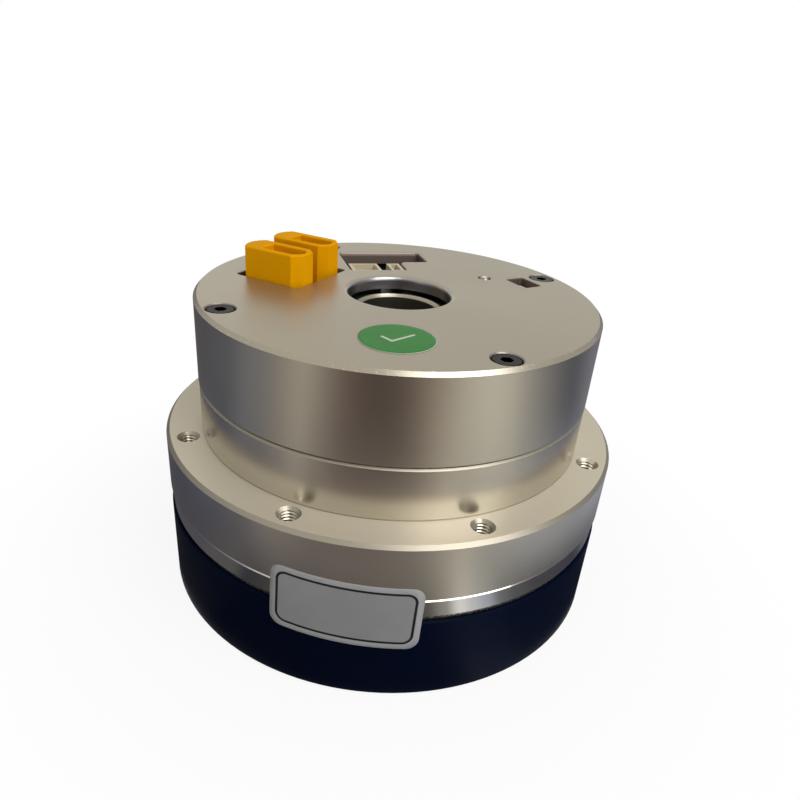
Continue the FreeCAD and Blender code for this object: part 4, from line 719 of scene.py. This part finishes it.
class JOINT_OT_threads(bpy.types.Operator):
    """Cut the thread's ridges into the tapped holes of both flanges"""

    bl_idname = "joint.threads"
    bl_label = "Add the threads"

    def execute(self, context):
        pitch = context.scene.joint_sizes.thread_pitch
        for name, body, mount, direction, length, start, first in THREADS:
            dims = MOUNTS[mount]["dims"]
            circle, drilled = dims["pcd_mm"] / 2 * MM, dims["hole_r_mm"] * MM
            level = MOUNTS[mount]["pos_m"][2] + direction * start
            all_points, all_faces, count = [], [], 0
            for index in range(dims["count"]):
                angle = math.radians(first + 360.0 / dims["count"] * index)
                place = (circle * math.cos(angle), circle * math.sin(angle), level)
                points, faces = thread_lining(place, drilled, length, pitch, direction)
                all_faces += [[corner + count for corner in face] for face in faces]
                all_points.append(points)
                count += len(points)
            lining = make_object(name, np.concatenate(all_points), all_faces, body)
            metal = finish(name + "_metal", (0.5, 0.46, 0.38), 1, 0.25, relief=0.001)[0]
            lining.data.materials.append(metal)
        return {"FINISHED"}


# Stage.
def stage_lamp():
    """A soft square lamp, in front on the right. Strength is how bright its face is."""
    place, aim = Vector((0.214, -0.214, 0.39)), Vector((0, 0, 0.03))
    side, strength = 0.34, 3.8
    data = bpy.data.lights.new("key", "AREA")
    data.size = side
    data.energy = strength * math.pi * side * side
    lamp = bpy.data.objects.new("key", data)
    lamp.location = place
    lamp.rotation_euler = (aim - place).to_track_quat("-Z", "Y").to_euler()
    bpy.context.scene.collection.objects.link(lamp)


def to_glossy_only(made):
    """Leave a studio card to reflections alone."""
    made.visible_camera = False
    made.visible_diffuse = False
    made.visible_transmission = False
    made.visible_volume_scatter = False
    made.visible_shadow = False


# Tones of the reflection card, each at its angle round the axis in degrees: close to the
# joint, where the polished ring reflects it, then where the flange's side does, and far
# out, where the cover does.
CLOSE_TONES = (
    (-180, (0.09, 0.09, 0.105)), (-160, (0.10, 0.10, 0.12)), (-150, (0.12, 0.115, 0.12)),
    (-141, (0.12, 0.115, 0.12)), (-134, (0.05, 0.052, 0.065)), (-124, (0.075, 0.07, 0.065)),
    (-80, (0.08, 0.075, 0.07)), (-74, (0.12, 0.11, 0.10)), (-68, (0.36, 0.34, 0.32)),
    (-63, (1.0, 1.0, 1.0)), (-58, (0.7, 0.72, 0.76)), (-54, (0.5, 0.55, 0.65)),
    (-48, (0.2, 0.2, 0.21)), (-42, (0.12, 0.12, 0.13)), (-32, (0.08, 0.08, 0.09)),
    (-12, (0.06, 0.06, 0.075)), (2, (0.15, 0.15, 0.18)), (25, (0.2, 0.2, 0.22)),
    (100, (0.1, 0.1, 0.1)), (158, (0.08, 0.08, 0.09)), (180, (0.09, 0.09, 0.105)))
NEAR_TONES = (
    (-180, (0.07, 0.08, 0.16)), (-151, (0.06, 0.075, 0.17)), (-141, (0.07, 0.085, 0.18)),
    (-133, (0.18, 0.19, 0.26)), (-124, (0.28, 0.27, 0.31)), (-116, (0.28, 0.26, 0.30)),
    (-100, (0.34, 0.32, 0.34)), (-84, (0.38, 0.37, 0.38)), (-77, (0.38, 0.39, 0.42)),
    (-69, (0.55, 0.56, 0.57)), (-62, (0.80, 0.80, 0.80)), (-54, (0.52, 0.54, 0.58)),
    (-44, (0.50, 0.55, 0.66)), (-25, (0.58, 0.64, 0.80)), (0, (0.54, 0.60, 0.76)),
    (40, (0.3, 0.31, 0.36)), (100, (0.25, 0.23, 0.22)), (130, (0.2, 0.2, 0.2)),
    (180, (0.07, 0.075, 0.13)))
FAR_TONES = (
    (-180, (0.14, 0.15, 0.2)), (-163, (0.29, 0.31, 0.37)), (-154, (0.30, 0.31, 0.35)),
    (-142, (0.48, 0.46, 0.44)), (-132, (0.72, 0.69, 0.64)), (-122, (0.40, 0.37, 0.35)),
    (-111, (0.18, 0.135, 0.13)), (-98, (0.10, 0.07, 0.065)), (-88, (0.10, 0.07, 0.066)),
    (-80, (0.19, 0.145, 0.135)), (-73, (0.33, 0.27, 0.24)), (-64, (0.56, 0.51, 0.46)),
    (-54, (0.80, 0.79, 0.74)), (-42, (0.97, 0.97, 0.92)), (-32, (0.86, 0.85, 0.81)),
    (-21, (0.48, 0.48, 0.49)), (-7, (0.24, 0.25, 0.29)), (10, (0.12, 0.13, 0.18)),
    (36, (0.24, 0.25, 0.32)), (70, (0.15, 0.14, 0.14)), (140, (0.10, 0.10, 0.12)),
    (180, (0.14, 0.15, 0.2)))


def round_tones(tree, share, tones):
    """Tones set round the axis and blended into each other. Share 0 is at -180 degrees."""
    node = put(tree, "ShaderNodeValToRGB", {0: share})
    node.color_ramp.interpolation = "EASE"
    stops = node.color_ramp.elements
    while len(stops) < len(tones):
        stops.new(0.5)
    for stop, (degrees, tone) in zip(stops, tones):
        stop.position = (degrees + 180) / 360
        stop.color = (*tone, 1)
    return node.outputs[0]


def stage_reflection_card():
    """A toned bowl round the joint, seen only in reflections.

    It stands for the light and dark things round a photographer's table: two pale
    cards in front, and darker ones between them and at the sides. It lies flat on the
    floor, and the last ring of its profile is a rim, high in front and low behind.
    """
    turn = round_turn(96)
    radius = np.array([0.0355, 0.055, 0.1, 0.3, 0.7, 0.8])
    height = np.full((len(radius), len(turn)), 0.05 * MM)
    height[-1] += 0.03 + 0.5 * np.clip(0.85 - 0.8 * np.sin(turn), 0, 1)
    card = make_object("reflection_card", *turned_surface(radius, height, turn))
    material = bpy.data.materials.new("reflection_card_glow")
    material.use_nodes = True
    tree = material.node_tree
    tree.nodes.clear()
    place = object_place(tree)
    reach = from_axis(tree, place)
    x, y = split(tree, place)[:2]
    share = put(tree, "ShaderNodeMapRange", {"Value": math_node(tree, "ARCTAN2", y, x),
                                             "From Min": -math.pi, "From Max": math.pi})
    tone = round_tones(tree, share.outputs[0], CLOSE_TONES)
    for low, high, tones in ((53, 58, NEAR_TONES), (60, 90, FAR_TONES)):
        tone = mix_colour(tree, ramp(tree, reach, low, high), tone,
                          round_tones(tree, share.outputs[0], tones))
    # The card glows with these tones, a lamp seen only in reflections: it paints the light and
    # dark bands on the metal.
    glow = put(tree, "ShaderNodeEmission", {0: tone, 1: 1.0})
    put(tree, "ShaderNodeOutputMaterial", {0: glow.outputs[0]})
    card.data.materials.append(material)
    to_glossy_only(card)


def seen_directly(tree):
    """One for rays from the camera, and for those in metal and glass."""
    path = put(tree, "ShaderNodeLightPath").outputs
    glossy = math_node(tree, "MAXIMUM", path["Is Glossy Ray"], path["Is Transmission Ray"])
    return math_node(tree, "MAXIMUM", path["Is Camera Ray"], glossy)


def stage_world():
    """White to the camera and low down, and soft grey above in reflections."""
    world = bpy.data.worlds.new("studio")
    bpy.context.scene.world = world
    world.use_nodes = True
    tree = world.node_tree
    back = tree.nodes["Background"]
    way = split(tree, put(tree, "ShaderNodeTexCoord").outputs["Generated"])
    wall = mix_colour(tree, ramp(tree, way[0], -0.4, 0.3), (0.80, 0.78, 0.72),
                      (0.66, 0.645, 0.59))
    away = rest_of(tree, put(tree, "ShaderNodeLightPath").outputs["Is Camera Ray"])
    shade = product(tree, ramp(tree, way[2], 0.13, 0.25), away)
    tree.links.new(mix_colour(tree, shade, (1, 1, 1), wall), back.inputs[0])
    tree.links.new(ramp(tree, seen_directly(tree), 0, 1, 0.5, 1.0), back.inputs[1])


def stage_floor():
    """A pale floor that keeps the object's shadow and is white to the camera and in metal.

    The share of its own white grows from near the object to where no shadow falls.
    """
    turn = round_turn(64)
    radius = np.array([0.001, 0.05, 0.2, 0.8, 4.0])
    height = np.full((len(radius), len(turn)), -0.02 * MM)
    floor = make_object("floor", *turned_surface(radius, height, turn))
    material, tree, shader = new_material("floor_paper", (0.9, 0.9, 0.9), 0, 0.9,
                                          Specular_IOR_Level=0.1)
    glow = put(tree, "ShaderNodeEmission", {0: (1, 1, 1, 1), 1: 1.0})
    reach = vector_node(tree, "LENGTH", object_place(tree))
    own = product(tree, seen_directly(tree), ramp(tree, reach, 35, 80, 0.9, 1.0))
    mix = put(tree, "ShaderNodeMixShader", {0: own, 1: shader.outputs[0], 2: glow.outputs[0]})
    tree.links.new(mix.outputs[0], tree.nodes["Material Output"].inputs[0])
    floor.data.materials.append(material)


def stage_camera():
    """The camera at the photograph's viewing angle, with the photograph's frame."""
    place = Vector((0, -99.476, 76.493)) * MM
    pan, pitch, roll = [math.radians(degrees) for degrees in (0.179, 28.155, 4.484)]
    image_size, focal_length, middle_x, middle_y = 800, 682.55, 391.27, 423.91
    forward = Vector((math.sin(pan) * math.cos(pitch), math.cos(pan) * math.cos(pitch),
                      -math.sin(pitch)))
    right = Vector((math.cos(pan), -math.sin(pan), 0))
    up = right.cross(forward)
    side = right * math.cos(roll) + up * math.sin(roll)
    top = up * math.cos(roll) - right * math.sin(roll)
    data = bpy.data.cameras.new("camera")
    data.sensor_width = 36
    data.lens = focal_length * data.sensor_width / image_size
    data.shift_x = 0.5 - middle_x / image_size
    data.shift_y = middle_y / image_size - 0.5
    data.clip_start = 5 * MM
    camera = bpy.data.objects.new("camera", data)
    bpy.context.scene.collection.objects.link(camera)
    facing = Matrix((side, top, -forward)).transposed()
    camera.matrix_world = Matrix.Translation(place) @ facing.to_4x4()
    bpy.context.scene.camera = camera


class JOINT_OT_stage(bpy.types.Operator):
    """Set up the floor, the light and the camera"""

    bl_idname = "joint.stage"
    bl_label = "Set up the studio"

    def execute(self, context):
        stage_world()
        stage_floor()
        stage_camera()
        stage_reflection_card()
        stage_lamp()
        context.scene.view_settings.view_transform = "Standard"
        return {"FINISHED"}


class JOINT_PT_panel(bpy.types.Panel):
    """Lists the steps that dress the joint"""

    bl_label = "Robot joint"
    bl_space_type = "VIEW_3D"
    bl_region_type = "UI"
    bl_category = "Robot joint"

    def draw(self, context):
        column = self.layout.column()
        for step in STEPS:
            column.operator(step.bl_idname)
        for group in (context.scene.joint_sizes, context.scene.joint_finishes):
            for name in group.__annotations__:
                column.prop(group, name)


STEPS = (JOINT_OT_finishes, JOINT_OT_label, JOINT_OT_sticker, JOINT_OT_threads, JOINT_OT_stage)
CLASSES = (JointFinishes, JointSizes) + STEPS + (JOINT_PT_panel,)


def register():
    for item in CLASSES:
        bpy.utils.register_class(item)
    bpy.types.Scene.joint_finishes = bpy.props.PointerProperty(type=JointFinishes)
    bpy.types.Scene.joint_sizes = bpy.props.PointerProperty(type=JointSizes)


def unregister():
    del bpy.types.Scene.joint_sizes
    del bpy.types.Scene.joint_finishes
    for item in reversed(CLASSES):
        bpy.utils.unregister_class(item)


def main():
    """Dress the joint."""
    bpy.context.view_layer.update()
    register()
    bpy.ops.joint.finishes()
    bpy.ops.joint.label()
    bpy.ops.joint.sticker()
    bpy.ops.joint.threads()
    bpy.ops.joint.stage()


if __name__ == "__main__":
    main()
